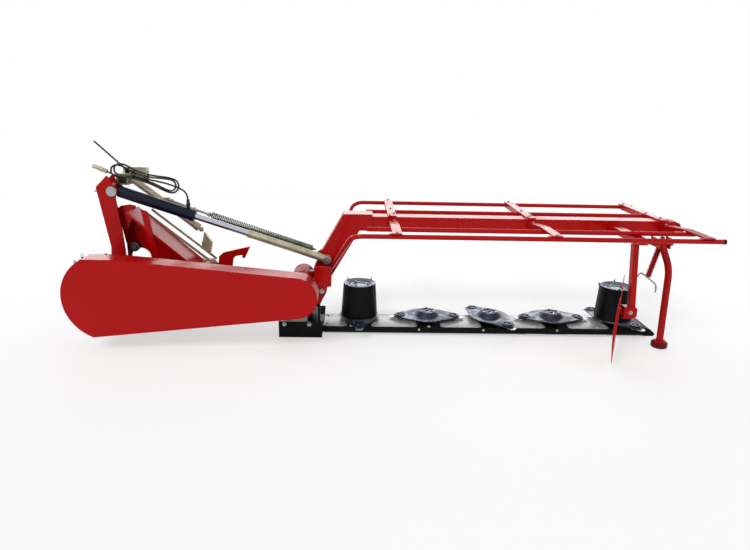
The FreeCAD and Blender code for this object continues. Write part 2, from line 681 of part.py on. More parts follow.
def make_drive_housing():
    case = cylinder("drive_case", "Y", size.pivot_x, beam_front + 4, size.pivot_z, 66, size.arm_y - beam_front - 4)
    trunnion = cylinder("drive_trunnion", "Y", size.pivot_x, plate_front + 6, size.pivot_z, size.trunnion_radius,
                        beam_front + 5 - plate_front - 6)
    column = cylinder("drive_column", "Z", size.column_x, column_y, size.bar_top, 42, size.pivot_z - size.bar_top)
    foot = cylinder("drive_foot", "Z", size.column_x, column_y, size.bar_top, 62, size.column_flange)
    seat = box("drive_seat", 30, lower_plate_y - 10, 180, 100, size.plate + 10, size.pivot_z - 170)
    node("drive_housing", cut("drive_housing", fuse("drive_blank", case, trunnion, column, foot), seat))


arm_outline = [(95, 134), (112, 139), (146, 203), (156, 250), (176, 258), (177, 312), (359, carrier_bottom),
               (440, carrier_bottom), (440, 729), (255, 729), (111, 473), (66, 374), (58, 315)]
arm_far_outline = [(95, 290), (177, 312), (359, carrier_bottom), (440, carrier_bottom), (440, 729), (255, 729),
                   (111, 473), (66, 374)]
arm_lower_outline = [(82, 186), (120, 187), (151, 260), (161, 299), (187, 303), (189, 365), (185, 429), (93, 428),
                     (81, 421)]
arm_left_web = [(80, 372), (123, 467), (270, 729), (255, 729), (111, 473), (66, 374)]
arm_right_web = [(168, 320), (177, 312), (359, carrier_bottom), (346, carrier_bottom)]


def make_gooseneck():
    parts = [padded("arm_near_plate", "XZ_Plane", arm_outline, size.arm_y, size.arm_plate),
             padded("arm_far_plate", "XZ_Plane", arm_far_outline, arm_far, size.arm_plate),
             padded("arm_left_web", "XZ_Plane", arm_left_web, carrier_y, size.carrier_width),
             padded("arm_right_web", "XZ_Plane", arm_right_web, carrier_y, size.carrier_width),
             padded("arm_lower_plate", "XZ_Plane", arm_lower_outline, lower_plate_y, size.plate),
             box("arm_lower_web_right", 163, lower_plate_back, 303, size.plate, size.arm_y - lower_plate_back, 25),
             box("arm_lower_web_left", 84, lower_plate_back, 340, size.plate, size.arm_y - lower_plate_back, 25),
             box("arm_top_plate", 260, carrier_y, size.carrier_top, 180, size.carrier_width, 729 - size.carrier_top),
             cylinder("arm_boss", "Y", size.arm_pin_x, size.arm_y - 10, size.arm_pin_z, 29, 10),
             padded("spring_lug", "XZ_Plane", [(78, 462), (112, 450), (124, 470), (118, 486)], strut_y - 6, 12)]
    node("gooseneck", fuse("gooseneck", *parts))


def make_carrier():
    beam = box("carrier_tube", size.carrier_start, carrier_y, carrier_bottom, size.carrier_end - size.carrier_start,
               size.carrier_width, size.carrier_height)
    middle_z = carrier_bottom + size.carrier_height / 2
    lug = box("carrier_lug_plate", size.carrier_end, carrier_y + size.carrier_width / 2 - 8, middle_z - 30, 30, 16, 60)
    nose = cylinder("carrier_lug_nose", "Y", size.carrier_end + 30, carrier_y + size.carrier_width / 2 - 8, middle_z,
                    30, 16)
    hole = cylinder("carrier_lug_hole", "Y", size.carrier_end + 30, carrier_y + size.carrier_width / 2 - 9, middle_z,
                    10, 18)
    node("carrier_beam", cut("carrier_beam", fuse("carrier_blank", beam, lug, nose), hole))


def crossbar(name, x):
    """A flat bar over the front rails, a bracket on the carrier beam and a bar down from the rear rail to it."""
    left = x - size.crossbar_width / 2
    top = size.carrier_top + size.crossbar_height
    bracket_y = carrier_y - 8
    rail_gap = size.rail_radius + 8
    rear = size.rear_rail_y - size.crossbar_overhang
    front = size.front_rail_y + size.crossbar_overhang
    rear_top = top - size.crossbar_drop - size.crossbar_height
    bend_y = size.inner_rail_rear_y + rail_gap + 20
    flange_bottom = size.carrier_top - size.crossbar_flange
    parts = [
        box(f"{name}_front", left, bracket_y, size.carrier_top, size.crossbar_width, front - bracket_y,
            size.crossbar_height),
        box(f"{name}_bracket", left, bracket_y, size.carrier_top - 62, size.crossbar_width, 8, 62),
        padded(f"{name}_rear", "YZ_Plane",
               [(rear, size.carrier_top), (bend_y, size.carrier_top), (bracket_y, rear_top - size.crossbar_height),
                (bracket_y, rear_top), (bend_y, top), (rear, top)], left, size.crossbar_width),
        padded(f"{name}_web", "YZ_Plane",
               [(bend_y, size.carrier_top - 8), (bracket_y, size.carrier_top - 60),
                (bracket_y, rear_top - size.crossbar_height), (bend_y, size.carrier_top)], left, 6),
        padded(f"{name}_foot", "XZ_Plane",
               [(left - 26, size.carrier_top), (left, size.carrier_top), (left, top)],
               size.rear_rail_y - size.rail_radius, 2 * size.rail_radius)]
    for part, start, end in (("flange_a", arm_far, size.inner_rail_front_y - rail_gap),
                             ("flange_b", size.inner_rail_front_y + rail_gap, size.front_rail_y - rail_gap)):
        parts.append(box(f"{name}_{part}", left, start + 20, flange_bottom, 6, end - start - 20, size.crossbar_flange))
    return parts


def make_rails():
    bend = float(size.rail_bend_x)
    height = float(rail_z)
    for name, y, end, foot_y, wall_y in (
            ("rear_rail", size.rear_rail_y, size.rear_rail_end, size.arm_y + 20, size.arm_y),
            ("front_rail", size.front_rail_y, size.front_rail_end, arm_far + size.arm_plate - 20,
             arm_far - 186)):
        points = [Vector(float(end), float(y), height), Vector(bend, float(y), height),
                  Vector(165, float(foot_y), 347)]
        rail = bent_tube(f"{name}_bar", points, float(size.rail_bend_radius), float(size.rail_radius))
        trim = box(f"{name}_trim", 100, wall_y, 250, 200, 200, 200)
        node(name, cut(name, rail, trim))
    node("inner_rails", fuse("inner_rails", *[
        cylinder(name, "X", size.inner_rail_start, y, rail_z, size.rail_radius,
                 size.crossbar_outer_x + size.crossbar_width / 2 - size.inner_rail_start)
        for name, y in (("inner_rail_rear", size.inner_rail_rear_y), ("inner_rail_front", size.inner_rail_front_y))]))
    parts = []
    for name, x in (("inner", size.crossbar_inner_x), ("middle", size.crossbar_middle_x),
                    ("outer", size.crossbar_outer_x)):
        parts += crossbar(f"crossbar_{name}", x)
    node("crossbars", fuse("crossbars", *parts))


# Cutter bar, shoes and skids

disc_places = [size.disc_1_x] + [size.disc_2_x + index * size.disc_pitch for index in range(4)]
disc_angles = [90, 0, size.disc_slant, 0, size.disc_slant]


def make_bar():
    bar = padded("cutter_bar", "YZ_Plane",
                 [(size.bar_rear, size.bar_bottom), (size.bar_front - 14, size.bar_bottom),
                  (size.bar_front, size.bar_bottom + 14), (size.bar_front, size.bar_top - 10),
                  (size.bar_front - 10, size.bar_top), (size.bar_rear + 4, size.bar_top),
                  (size.bar_rear, size.bar_top - 4)], size.bar_start, size.bar_end - size.bar_start)
    node("cutter_bar", bar)
    skids = []
    low = size.bar_bottom - size.skid_thickness
    for name, start, length in (("inner", 146, 1284), ("middle", 1551, 141), ("outer", 1949, size.bar_end - 1953)):
        skids.append(padded(f"skid_{name}", "YZ_Plane",
                            [(size.bar_rear + 10, low), (size.bar_front - 14, low), (size.bar_front + 34, 46),
                             (size.bar_front + 26, 50), (size.bar_front, 46), (size.bar_front, size.bar_bottom + 14),
                             (size.bar_front - 14, size.bar_bottom), (size.bar_rear + 10, size.bar_bottom)],
                            start, length))
    node("bar_skids", fuse("bar_skids", *skids))
    inner = padded("inner_shoe", "YZ_Plane",
                   [(size.shoe_rear, 0), (140, 0), (222, 52), (214, 62), (132, size.bar_bottom),
                    (size.shoe_rear + size.plate, size.bar_bottom), (size.shoe_rear + size.plate, size.shoe_height),
                    (size.shoe_rear, size.shoe_height)], size.shoe_left, size.shoe_width)
    node("inner_shoe", inner)
    outer = padded("outer_shoe", "XZ_Plane",
                   [(size.bar_end, 0), (size.bar_end + 70, 0), (size.bar_end + 84, 14), (size.bar_end + 50, 44),
                    (size.bar_end, 62)], -120, 230)
    node("outer_shoe", outer)


# Discs: an oval dished disc with its hub and two knives, and a drum on the first and the last

disc_ratio = (size.disc_short - size.disc_end_radius) / (size.disc_long - size.disc_end_radius)
disc_side = cathetus(as_size(1), disc_ratio)
waist = (size.disc_short * disc_ratio, size.disc_short * disc_side)
ear = (size.disc_long - size.disc_end_radius * (1 - disc_ratio), size.disc_end_radius * disc_side)
disc_outline = [(ear[0], -ear[1], size.disc_end_radius), ear, (*waist, size.disc_short), (-waist[0], waist[1]),
                (-ear[0], ear[1], size.disc_end_radius), (-ear[0], -ear[1]), (-waist[0], -waist[1], size.disc_short),
                (waist[0], -waist[1])]


def stand_at(item, x, z, angle):
    """Puts a part that is drawn round the origin on a disc's axis, turned about it."""
    item.Placement = FreeCAD.Placement(Vector(), Rotation(Vector(0, 0, 1), float(as_size(angle))))
    place(item, x, 0, z)
    return item


def make_disc(number, x, angle):
    crown_low = size.disc_top - size.disc_sheet
    edge = size.disc_top - size.disc_drop
    reach = size.disc_long + 5
    dish = turned(f"disc_{number}_dish", [
        (0, size.bar_top + 0.6), (size.bearing_radius, size.bar_top + 0.6), (size.bearing_radius, crown_low),
        (size.crown_radius, crown_low), (reach, edge - size.disc_sheet), (reach, edge),
        (size.crown_radius, size.disc_top), (0, size.disc_top)], x, 0, 0)
    prism = stand_at(padded(f"disc_{number}_prism", "XY_Plane", disc_outline, size.bar_top, 100), x, size.bar_top, angle)
    common = doc.addObject("Part::Common", f"disc_{number}_plate")
    common.Base = dish
    common.Tool = prism
    hub = turned(f"disc_{number}_hub", [
        (0, size.disc_top), (size.hub_radius, size.disc_top), (size.hub_radius - 21, size.hub_top + 2),
        (size.hub_radius - 29, size.hub_top + 6), (size.hub_radius - 39, size.hub_top + 6),
        (size.hub_radius - 43, size.hub_top - 2), (0, size.hub_top - 2)], x, 0, 0)
    node(f"disc_{number}", fuse(f"disc_{number}", common, hub))
    knives = []
    knife_top = edge - size.disc_sheet
    half = size.knife_width / 2
    inner = size.knife_reach - size.knife_length
    for letter, half_turn in (("a", 0), ("b", 180)):
        knife = padded(f"knife_{number}_{letter}", "XY_Plane",
                       [(inner, -half), (size.knife_reach - 10, -half), (size.knife_reach, 0),
                        (size.knife_reach - 10, half), (inner, half)],
                       knife_top - size.knife_thickness, size.knife_thickness)
        knives.append(stand_at(knife, x, knife_top - size.knife_thickness, angle + half_turn))
    node(f"disc_{number}_knives", fuse(f"disc_{number}_knives", *knives))


def make_drum(name, x):
    wall = 5
    node(name, turned(name, [
        (size.drum_bottom_radius - wall, size.disc_top), (size.drum_bottom_radius, size.disc_top),
        (size.drum_top_radius, size.drum_top), (size.drum_top_radius - wall, size.drum_top),
        (size.drum_top_radius - 28, size.drum_top - size.drum_dish), (0, size.drum_top - size.drum_dish),
        (0, size.drum_top - size.drum_dish - wall), (size.drum_top_radius - wall, size.drum_top - size.drum_dish - wall)],
        x, 0, 0))


# Outer end: outrigger, swath board on its post, outer leg

def make_outer_end():
    top = rail_z - size.rail_radius - 0.3
    bottom = top - size.outrigger_height
    arm = box("outrigger_tube", size.outrigger_x, size.outrigger_y, bottom, size.outrigger_width,
              carrier_y - size.outrigger_y, size.outrigger_height)
    half = size.post_side / 2
    post = padded("board_post_tube", "XZ_Plane",
                  [(size.post_bottom_x - half, size.post_bottom_z), (size.post_bottom_x + half, size.post_bottom_z),
                   (size.post_bottom_x + half - 34, bottom), (size.post_bottom_x - half - 34, bottom)],
                  size.post_y - half, size.post_side)
    pin_start = size.outrigger_x + size.outrigger_width - 10
    pin = cylinder("leg_pin", "X", pin_start, size.leg_y, size.leg_pivot_z, 9, size.leg_pivot_x + 60 - pin_start)
    lugs = [box(f"leg_lug_{side}", size.leg_pivot_x + shift, size.leg_y - reach, size.leg_pivot_z - drop, 8, reach + 48,
                top - size.leg_pivot_z + drop)
            for side, shift, reach, drop in (("inner", -44, 60, 19), ("outer", 44, 10, 33))]
    node("outrigger", fuse("outrigger", arm, pin, *lugs))
    bracket = padded("board_bracket", "XZ_Plane",
                     [(1950, 194), (2014, 194), (2030, 208), (2030, 254), (size.post_bottom_x + half, size.post_bottom_z),
                      (1950, size.post_bottom_z)], size.post_y - 24, 48)
    node("board_post", fuse("board_post", post, bracket))
    board = padded("swath_board_plate", "YZ_Plane",
                   [(-420, 60), (-230, 30), (-110, 40), (50, 190), (50, 370), (-110, 490), (-310, 520), (-420, 440)],
                   1934, 4)
    board.Placement = FreeCAD.Placement(Vector(1934, -290, 0), Rotation(Vector(0, 0, 1), -25.9))
    hanger = box("swath_board_hanger", 1936, -300, 210, 14, 16, 40)
    node("swath_board", fuse("swath_board", board, hanger))
    foot_bottom = 34
    points = [Vector(float(size.leg_pivot_x) - 7, float(size.leg_y), float(size.leg_pivot_z) + 15),
              Vector(2199, float(size.leg_y), 500), Vector(float(size.leg_foot_x), float(size.leg_y), foot_bottom)]
    tube = bent_tube("leg_tube", points, 300, float(size.leg_radius))
    cup = turned("leg_cup", [(0, 0), (size.leg_foot_radius - 6, 0), (size.leg_foot_radius, 6),
                             (size.leg_foot_radius, 30), (size.leg_foot_radius - 18, foot_bottom + 12),
                             (0, foot_bottom + 12)], size.leg_foot_x, size.leg_y, 0)
    hole = cylinder("leg_hole", "X", size.leg_pivot_x - 60, size.leg_y, size.leg_pivot_z, 9.3, 120)
    node("outer_leg", cut("outer_leg", fuse("outer_leg_blank", tube, cup), hole))


# Hose: tied in a hank over the barrel, one end on the barrel's port and a coupler on the other

hose_radius = 5.5
hose_y = 56
HOSE_START = (float(port_x), float(size.cylinder_y), float(port_top))
HOSE_STEPS = [(0, 0, 0), (0, 0, 29), (-8, 6, 58), (-30, 16, 79), (-57, 16, 92)]
HOSE_ROUTE = [tuple(a + b for a, b in zip(HOSE_START, step)) for step in HOSE_STEPS]
COUPLER_LINE = [(-1262, 46, 1004), (-1180, 46, 970)]
hank_face = 14


def hank_edge(line):
    """The two corners of a hank face that the last stretch of a line meets square, on its left and right."""
    (x_before, _, z_before), (x, _, z) = line[-2:]
    run = math.hypot(x - x_before, z - z_before)
    across = (hank_face * (z_before - z) / run, hank_face * (x - x_before) / run)
    return (x + across[0], z + across[1]), (x - across[0], z - across[1])


def cord_tube(name, route, radius):
    """A tube along straight runs whose arcs are as large as the runs allow."""
    points = [Vector(*point) for point in route]
    edges = []
    last = points[0]
    for before, corner, after in zip(points, points[1:], points[2:]):
        to_before = before - corner
        to_after = after - corner
        reach = 0.45 * min(to_before.Length, to_after.Length)
        half = to_before.getAngle(to_after) / 2
        bend = reach * math.tan(half)
        print(f"{name}: radius {bend:.0f} mm, {bend / (2 * radius):.1f} diameters")
        start = corner + to_before.normalize() * reach
        end = corner + to_after.normalize() * reach
        inward = (to_before + to_after).normalize()
        summit = corner + inward * (bend / math.sin(half) - bend)
        edges.append(Part.makeLine(last, start))
        edges.append(Part.Arc(start, summit, end).toShape())
        last = end
    edges.append(Part.makeLine(last, points[-1]))
    spine = Part.Wire(edges)
    section = Part.Wire(Part.makeCircle(radius, points[0], points[1] - points[0]))
    item = doc.addObject("Part::Feature", name)
    item.Shape = spine.makePipeShell([section], True, False)
    print(f"{name}: volume over section times length {item.Shape.Volume / (math.pi * radius ** 2 * spine.Length):.4f}")
    return item


def make_soft_parts():
    node("balance_spring", slanted("balance_spring", (-603.7, strut_y, 700.9), (76, 479), 24))
    hose_low, hose_high = hank_edge(HOSE_ROUTE)
    coupler_high, coupler_low = hank_edge(COUPLER_LINE)
    hank = padded("hose_hank", "XZ_Plane",
                  [coupler_low, (-1120, 950), (-1064, 938), (-933, 903), (-803, 853), hose_low, hose_high,
                   (-927, 970), (-1068, 1010), (-1146, 1014), coupler_high], hose_y - 23, 46)
    node("hose_hank", hank)
    node("hose", cord_tube("hose", HOSE_ROUTE, hose_radius))
    node("hose_coupler", slanted("hose_coupler", COUPLER_LINE[0], COUPLER_LINE[1][::2], 12))
    rod = slanted("control_rod_bar", (-1273, 125, 1144), (-1082, 964), 5)
    lug = box("control_rod_lug", -1100, 115, head_z + head_side, 22, 20, 34)
    node("control_rod", fuse("control_rod", rod, lug))


make_belt_guard()
make_headstock()
make_mast()
make_strut()
make_hook()
make_jack()
make_cylinder()
make_drive_housing()
make_gooseneck()
make_carrier()
make_rails()
make_bar()
for disc_number, (disc_x, disc_angle) in enumerate(zip(disc_places, disc_angles), start=1):
    make_disc(disc_number, disc_x, disc_angle)
make_drum("inner_drum", disc_places[0])
make_drum("outer_drum", disc_places[4])
make_outer_end()
make_soft_parts()
doc.recompute()

failed = [item.Name for item in doc.Objects if "Invalid" in item.State or "Error" in item.State]
failed += [item.Label for item in nodes if item.Shape.isNull() or not item.Shape.isValid()]
if failed:
    raise RuntimeError(f"these objects did not build: {failed}")
os.makedirs("parts", exist_ok=True)
for item in nodes:
    item.Shape.exportStep(f"parts/{item.Label}.step")
print(f"{len(nodes)} nodes written")
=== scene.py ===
import json
import math

import bmesh
import bpy
from mathutils import Matrix, Vector


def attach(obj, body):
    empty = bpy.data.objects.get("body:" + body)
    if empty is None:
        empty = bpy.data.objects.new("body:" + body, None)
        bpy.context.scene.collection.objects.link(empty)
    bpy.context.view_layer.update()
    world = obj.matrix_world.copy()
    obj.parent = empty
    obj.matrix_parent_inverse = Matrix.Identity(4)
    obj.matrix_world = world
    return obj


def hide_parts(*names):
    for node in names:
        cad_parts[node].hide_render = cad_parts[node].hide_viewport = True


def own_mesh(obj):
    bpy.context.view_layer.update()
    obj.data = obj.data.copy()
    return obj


bl_info = {
    "name": "Disc mower dressing",
    "version": (1, 1, 0),
    "blender": (4, 5, 0),
    "location": "View3D > Sidebar > Mower",
    "description": "Finishes, hose, springs, hardware, floor, light and camera for a mounted disc mower",
    "category": "Object",
}

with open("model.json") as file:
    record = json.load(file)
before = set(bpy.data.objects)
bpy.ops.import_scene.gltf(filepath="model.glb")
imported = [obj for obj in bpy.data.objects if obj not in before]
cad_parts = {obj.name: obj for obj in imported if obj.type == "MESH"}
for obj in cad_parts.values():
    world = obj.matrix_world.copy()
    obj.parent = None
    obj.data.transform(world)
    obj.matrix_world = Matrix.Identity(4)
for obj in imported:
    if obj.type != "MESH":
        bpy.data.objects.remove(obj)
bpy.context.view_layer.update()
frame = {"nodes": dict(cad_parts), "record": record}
NODES = frame["nodes"]


# What a user would change


class MowerColours(bpy.types.PropertyGroup):
    """Base colours of the mower's finishes."""

    red: bpy.props.FloatVectorProperty(
        name="Red paint", description="Gloss paint of the frames and covers", subtype="COLOR",
        default=(0.36, 0.0020, 0.0022), min=0, max=1)
    black: bpy.props.FloatVectorProperty(
        name="Black paint", description="Satin paint of the cutter bar, shoes and drums", subtype="COLOR",
        default=(0.0020, 0.0022, 0.0024), min=0, max=1)
    # On the discs this silver-blue is a painted reflection of the bright sky on the crown; it also tints the
    # drum lids' steel
    disc: bpy.props.FloatVectorProperty(
        name="Disc crown", description="Silver-blue steel on top of the discs", subtype="COLOR",
        default=(0.17, 0.20, 0.26), min=0, max=1)
    # Below the discs' edges this navy is darkened further into painted shade
    hub: bpy.props.FloatVectorProperty(
        name="Hub cover", description="Navy skin of the hub covers and the discs' edges", subtype="COLOR",
        default=(0.006, 0.010, 0.032), min=0, max=1)
    barrel: bpy.props.FloatVectorProperty(
        name="Barrel paint", description="Paint of the lift cylinder's barrel", subtype="COLOR",
        default=(0.0030, 0.0070, 0.0200), min=0, max=1)
    zinc: bpy.props.FloatVectorProperty(
        name="Zinc plating", description="Olive-yellow passivated plating of the strut, sleeve and fittings",
        subtype="COLOR", default=(0.46, 0.42, 0.31), min=0, max=1)
    bright: bpy.props.FloatVectorProperty(
        name="Bright steel", description="Bare and galvanised steel", subtype="COLOR",
        default=(0.60, 0.61, 0.62), min=0, max=1)


class MowerSizes(bpy.types.PropertyGroup):
    """Sizes of the parts that are added to the frame."""

    hose: bpy.props.FloatProperty(
        name="Hose diameter", description="Outside diameter of the lift hose", unit="LENGTH",
        default=0.011, min=0.006, max=0.02)
    spring_wire: bpy.props.FloatProperty(
        name="Spring wire", description="Diameter of the balance spring's wire", unit="LENGTH",
        default=0.0085, min=0.003, max=0.015)
    bolt: bpy.props.FloatProperty(
        name="Bolt", description="Width across the flats of the usual bolt head", unit="LENGTH",
        default=0.014, min=0.008, max=0.03)


# Shader maths

SEEN_RAYS = ("Is Camera Ray", "Is Glossy Ray", "Is Transmission Ray")


class Value:
    """A socket in a node tree that takes part in Python arithmetic."""

    def __init__(self, graph, socket):
        self.graph = graph
        self.socket = socket

    def _math(self, operation, *operands):
        return self.graph.node("ShaderNodeMath", {"operation": operation}, dict(enumerate(operands)))

    def __add__(self, other):
        return self._math("ADD", self, other)

    def __radd__(self, other):
        return self._math("ADD", other, self)

    def __sub__(self, other):
        return self._math("SUBTRACT", self, other)

    def __rsub__(self, other):
        return self._math("SUBTRACT", other, self)

    def __mul__(self, other):
        return self._math("MULTIPLY", self, other)

    def __rmul__(self, other):
        return self._math("MULTIPLY", other, self)

    def either(self, other):
        """The larger of two values."""
        return self._math("MAXIMUM", self, other)

    def above(self, low, high):
        """0 up to low, 1 from high on, and smooth between them."""
        return self.graph.node("ShaderNodeMapRange", {"interpolation_type": "SMOOTHSTEP"},
                               {"Value": self, "From Min": low, "From Max": high})


class Graph:
    """A node tree that is filled one node at a time."""

    def __init__(self, tree):
        self.tree = tree
        tree.nodes.clear()

    def node(self, kind, settings=None, inputs=None, output=0):
        """Adds a node, makes its settings first, then feeds its inputs, and gives back one output.

        A node without outputs is given back itself.
        """
        made = self.tree.nodes.new(kind)
        for name, value in (settings or {}).items():
            setattr(made, name, value)
        for key, value in (inputs or {}).items():
            self.feed(made.inputs[key], value)
        return Value(self, made.outputs[output]) if made.outputs else made

    def feed(self, socket, value):
        """Links a value to a socket, or sets a number or a colour on it."""
        if isinstance(value, Value):
            self.tree.links.new(value.socket, socket)
        elif hasattr(value, "__len__") and len(value) == 3 and socket.type == "RGBA":
            socket.default_value = (*value, 1.0)
        else:
            socket.default_value = value

    def seen(self):
        """1 for rays that the camera sees, also by reflection or through glass, and 0 for others."""
        rays = self.node("ShaderNodeLightPath").socket.node.outputs
        camera, glossy, through = (Value(self, rays[name]) for name in SEEN_RAYS)
        return camera.either(glossy).either(through)


class Finish(Graph):
    """One node-based material, built around a Principled shader."""

    def __init__(self, name):
        self.material = bpy.data.materials.new(name)
        self.material.use_nodes = True
        super().__init__(self.material.node_tree)
        self.shader = self.node("ShaderNodeBsdfPrincipled")
        self.output = self.node("ShaderNodeOutputMaterial", None, {"Surface": self.shader})
        self.place = self.node("ShaderNodeTexCoord", output="Object")

    def noise(self, scale, detail=3.0, roughness=0.5, stretch=None):
        """Noise of that many lumps per metre over the object."""
        where = self.place
        if stretch:
            where = self.node("ShaderNodeMapping", None, {"Vector": self.place, "Scale": stretch})
        return self.node("ShaderNodeTexNoise", None,
                         {"Vector": where, "Scale": scale, "Detail": detail, "Roughness": roughness})

    def height(self):
        """Height above the ground."""
        return self.node("ShaderNodeSeparateXYZ", None, {0: self.place}, output=2)

    def mix(self, share, first, second):
        """Colour between two, by a share from 0 to 1."""
        return self.node("ShaderNodeMix", {"data_type": "RGBA"}, {0: share, 6: first, 7: second}, output=2)

    def edges(self, size):
        """1 on edges and in corners of about that size, 0 on flats."""
        rounded = self.node("ShaderNodeBevel", {"samples": 4}, {"Radius": size})
        flat = self.node("ShaderNodeNewGeometry", output="Normal")
        alike = self.node("ShaderNodeVectorMath", {"operation": "DOT_PRODUCT"}, {0: rounded, 1: flat},
                          output=1)
        return (1.0 - alike).above(0.02, 0.25)

    def bump(self, height, strength, distance):
        """Feeds a height to the shader's normal."""
        self.set(Normal=self.node("ShaderNodeBump", None,
                                  {"Strength": strength, "Distance": distance, "Height": height}))

    def set(self, **values):
        """Sets or links the shader's own sockets, named with underscores for spaces."""
        for name, value in values.items():
            self.feed(self.shader.socket.node.inputs[name.replace("_", " ")], value)


# Finishes, with the heights in metres between which some of them change over

GEARBOX_SPLIT = (0.268, 0.272)
# Heights under which the discs' edges are darkened into painted shade
DISC_SHADE_EDGE = (0.0836, 0.0850)
HUB_COVER_FOOT = (0.0888, 0.0895)
HUB_COVER_TOP = (0.1120, 0.1130)


def darker(colour, share):
    """A share of a colour's light."""
    return tuple(channel * share for channel in colour)


def gloss_paint(name, colour, coat=0.09, specular=0.09, foot=0.0):
    """Sprayed gloss paint: faint orange peel, thin dust, rubbed edges; darker below foot metres."""
    finish = Finish(name)
    dust = finish.noise(3.2, 5.0, 0.6).above(0.52, 0.78) * finish.noise(60, 4.0, 0.7)
    rubbed = finish.edges(0.002) * finish.noise(38, 4.0).above(0.55, 0.7)
    tone = finish.mix(finish.noise(1.6, 2.0), darker(colour, 0.92), darker(colour, 1.05))
    tone = finish.mix(dust * 0.02, tone, (0.32, 0.20, 0.18))
    if foot:
        tone = finish.mix(finish.height().above(foot * 0.9, foot * 1.1), darker(colour, 0.3), tone)
    finish.set(Base_Color=finish.mix(rubbed * 0.5, tone, darker(colour, 0.3)),
               Roughness=0.27 + dust * 0.25 + rubbed * 0.2, Coat_Weight=coat, Coat_Roughness=0.07,
               Specular_IOR_Level=specular)
    finish.bump(finish.noise(160, 2.0), 0.05, 0.0004)
    return finish.material


def satin_black(name, colour, dusty=0.03, top=None):
    """Thick black paint with a trace of grey dust; top is the colour of a gearbox's upper part."""
    finish = Finish(name)
    if top:
        colour = finish.mix(finish.height().above(*GEARBOX_SPLIT), colour, top)
    dust = finish.noise(9, 5.0, 0.65).above(0.5, 0.75)
    scuffs = finish.noise(90, 3.0, 0.6, (0.2, 1, 1)).above(0.62, 0.72)
    worn = finish.edges(0.0025) * finish.noise(45, 4.0).above(0.5, 0.66)
    tone = finish.mix(dust * dusty, colour, (0.20, 0.20, 0.21))
    finish.set(Base_Color=finish.mix(worn * 0.35 + scuffs * 0.02, tone, (0.12, 0.12, 0.13)),
               Roughness=0.38 + dust * 0.25 + scuffs * 0.1, Metallic=worn * 0.4, Coat_Weight=0.02,
               Coat_Roughness=0.2, Specular_IOR_Level=0.08)
    finish.bump(finish.noise(260, 3.0), 0.12, 0.0006)
    return finish.material


def disc_skin(name, crown, hub):
    """Pressed disc: navy, with a painted reflection of the bright sky in silver-blue patches on its crown, a
    painted highlight along its edges and scratches; a navy hub cover, and painted shade below the edge.
    """
    finish = Finish(name)
    height = finish.height()
    # The crown's silver-blue is a painted reflection of the bright sky; these patches let the disc's navy
    # show through it
    reflection_patches = finish.noise(11, 4.0, 0.6, (1, 1, 3)).above(0.40, 0.54)
    scratches = finish.noise(160, 3.0, 0.6, (1, 0.25, 1))
    # Painted highlight: pale silver along the crown's edges
    edge_highlight = finish.edges(0.005) * finish.noise(30, 4.0).above(0.35, 0.6)
    top = finish.mix(reflection_patches * 0.9, crown, darker(hub, 1.3))
    top = finish.mix(edge_highlight * 0.7, top, (0.62, 0.62, 0.60))
    cover = height.above(*HUB_COVER_FOOT) * (1.0 - height.above(*HUB_COVER_TOP))
    # Painted shade: a darker navy below the discs' edge, where the front slope and side walls face the dark
    shade_below_edge = 1.0 - height.above(*DISC_SHADE_EDGE)
    dark = finish.mix(finish.noise(24, 3.0), darker(hub, 0.6), darker(hub, 1.6))
    tone = finish.mix(cover, top, dark)
    tone = finish.mix(shade_below_edge, tone, darker(hub, 0.6))
    # The hub cover's navy skin and the painted shade below the edge lose most of the metal look
    skin = (cover + shade_below_edge) * 0.9
    finish.set(Base_Color=tone, Metallic=0.75 - skin * 0.65,
               Roughness=0.30 + scratches * 0.16 + reflection_patches * 0.08,
               Coat_Weight=0.10, Coat_Roughness=0.15, Specular_IOR_Level=0.3)
    finish.bump(scratches, 0.12, 0.0005)
    return finish.material


def plated(name, colour, stain=(0.26, 0.22, 0.13)):
    """Zinc plating with cloudy passivation and dark patches of grime."""
    finish = Finish(name)
    cloud = finish.noise(22, 4.0, 0.6)
    grime = finish.noise(55, 5.0, 0.7).above(0.56, 0.78)
    tone = finish.mix(cloud.above(0.38, 0.68) * 0.6, colour, stain)
    finish.set(Base_Color=finish.mix(grime * 0.5, tone, (0.06, 0.055, 0.04)), Metallic=0.72 - grime * 0.3,
               Roughness=0.36 + cloud * 0.14 + grime * 0.2)
    finish.bump(finish.noise(300, 2.0), 0.08, 0.0004)
    return finish.material


def bright_steel(name, colour, roughness=0.24, metal=0.9):
    """Bare or galvanised steel with fine scratches and a dull spangle."""
    finish = Finish(name)
    scratches = finish.noise(240, 3.0, 0.6)
    spangle = finish.node("ShaderNodeTexVoronoi", None, {"Vector": finish.place, "Scale": 70.0})
    stains = finish.noise(14, 5.0, 0.65).above(0.52, 0.78)
    tone = finish.mix(stains * 0.5, colour, darker(colour, 0.3))
    finish.set(Base_Color=tone, Metallic=metal,
               Roughness=roughness + scratches * 0.12 + spangle * 0.05 + stains * 0.15)
    finish.bump(scratches, 0.08, 0.0003)
    return finish.material


def ground_chrome(name):
    """Hard chrome on the lift rod: bright, finely ground and with an oil film."""
    finish = Finish(name)
    film = finish.noise(40, 3.0, 0.6).above(0.5, 0.8)
    finish.set(Base_Color=finish.mix(film * 0.3, (0.46, 0.50, 0.56), (0.26, 0.25, 0.22)), Metallic=1.0,
               Roughness=0.13 + film * 0.12)
    finish.bump(finish.noise(600, 2.0), 0.02, 0.0002)
    return finish.material


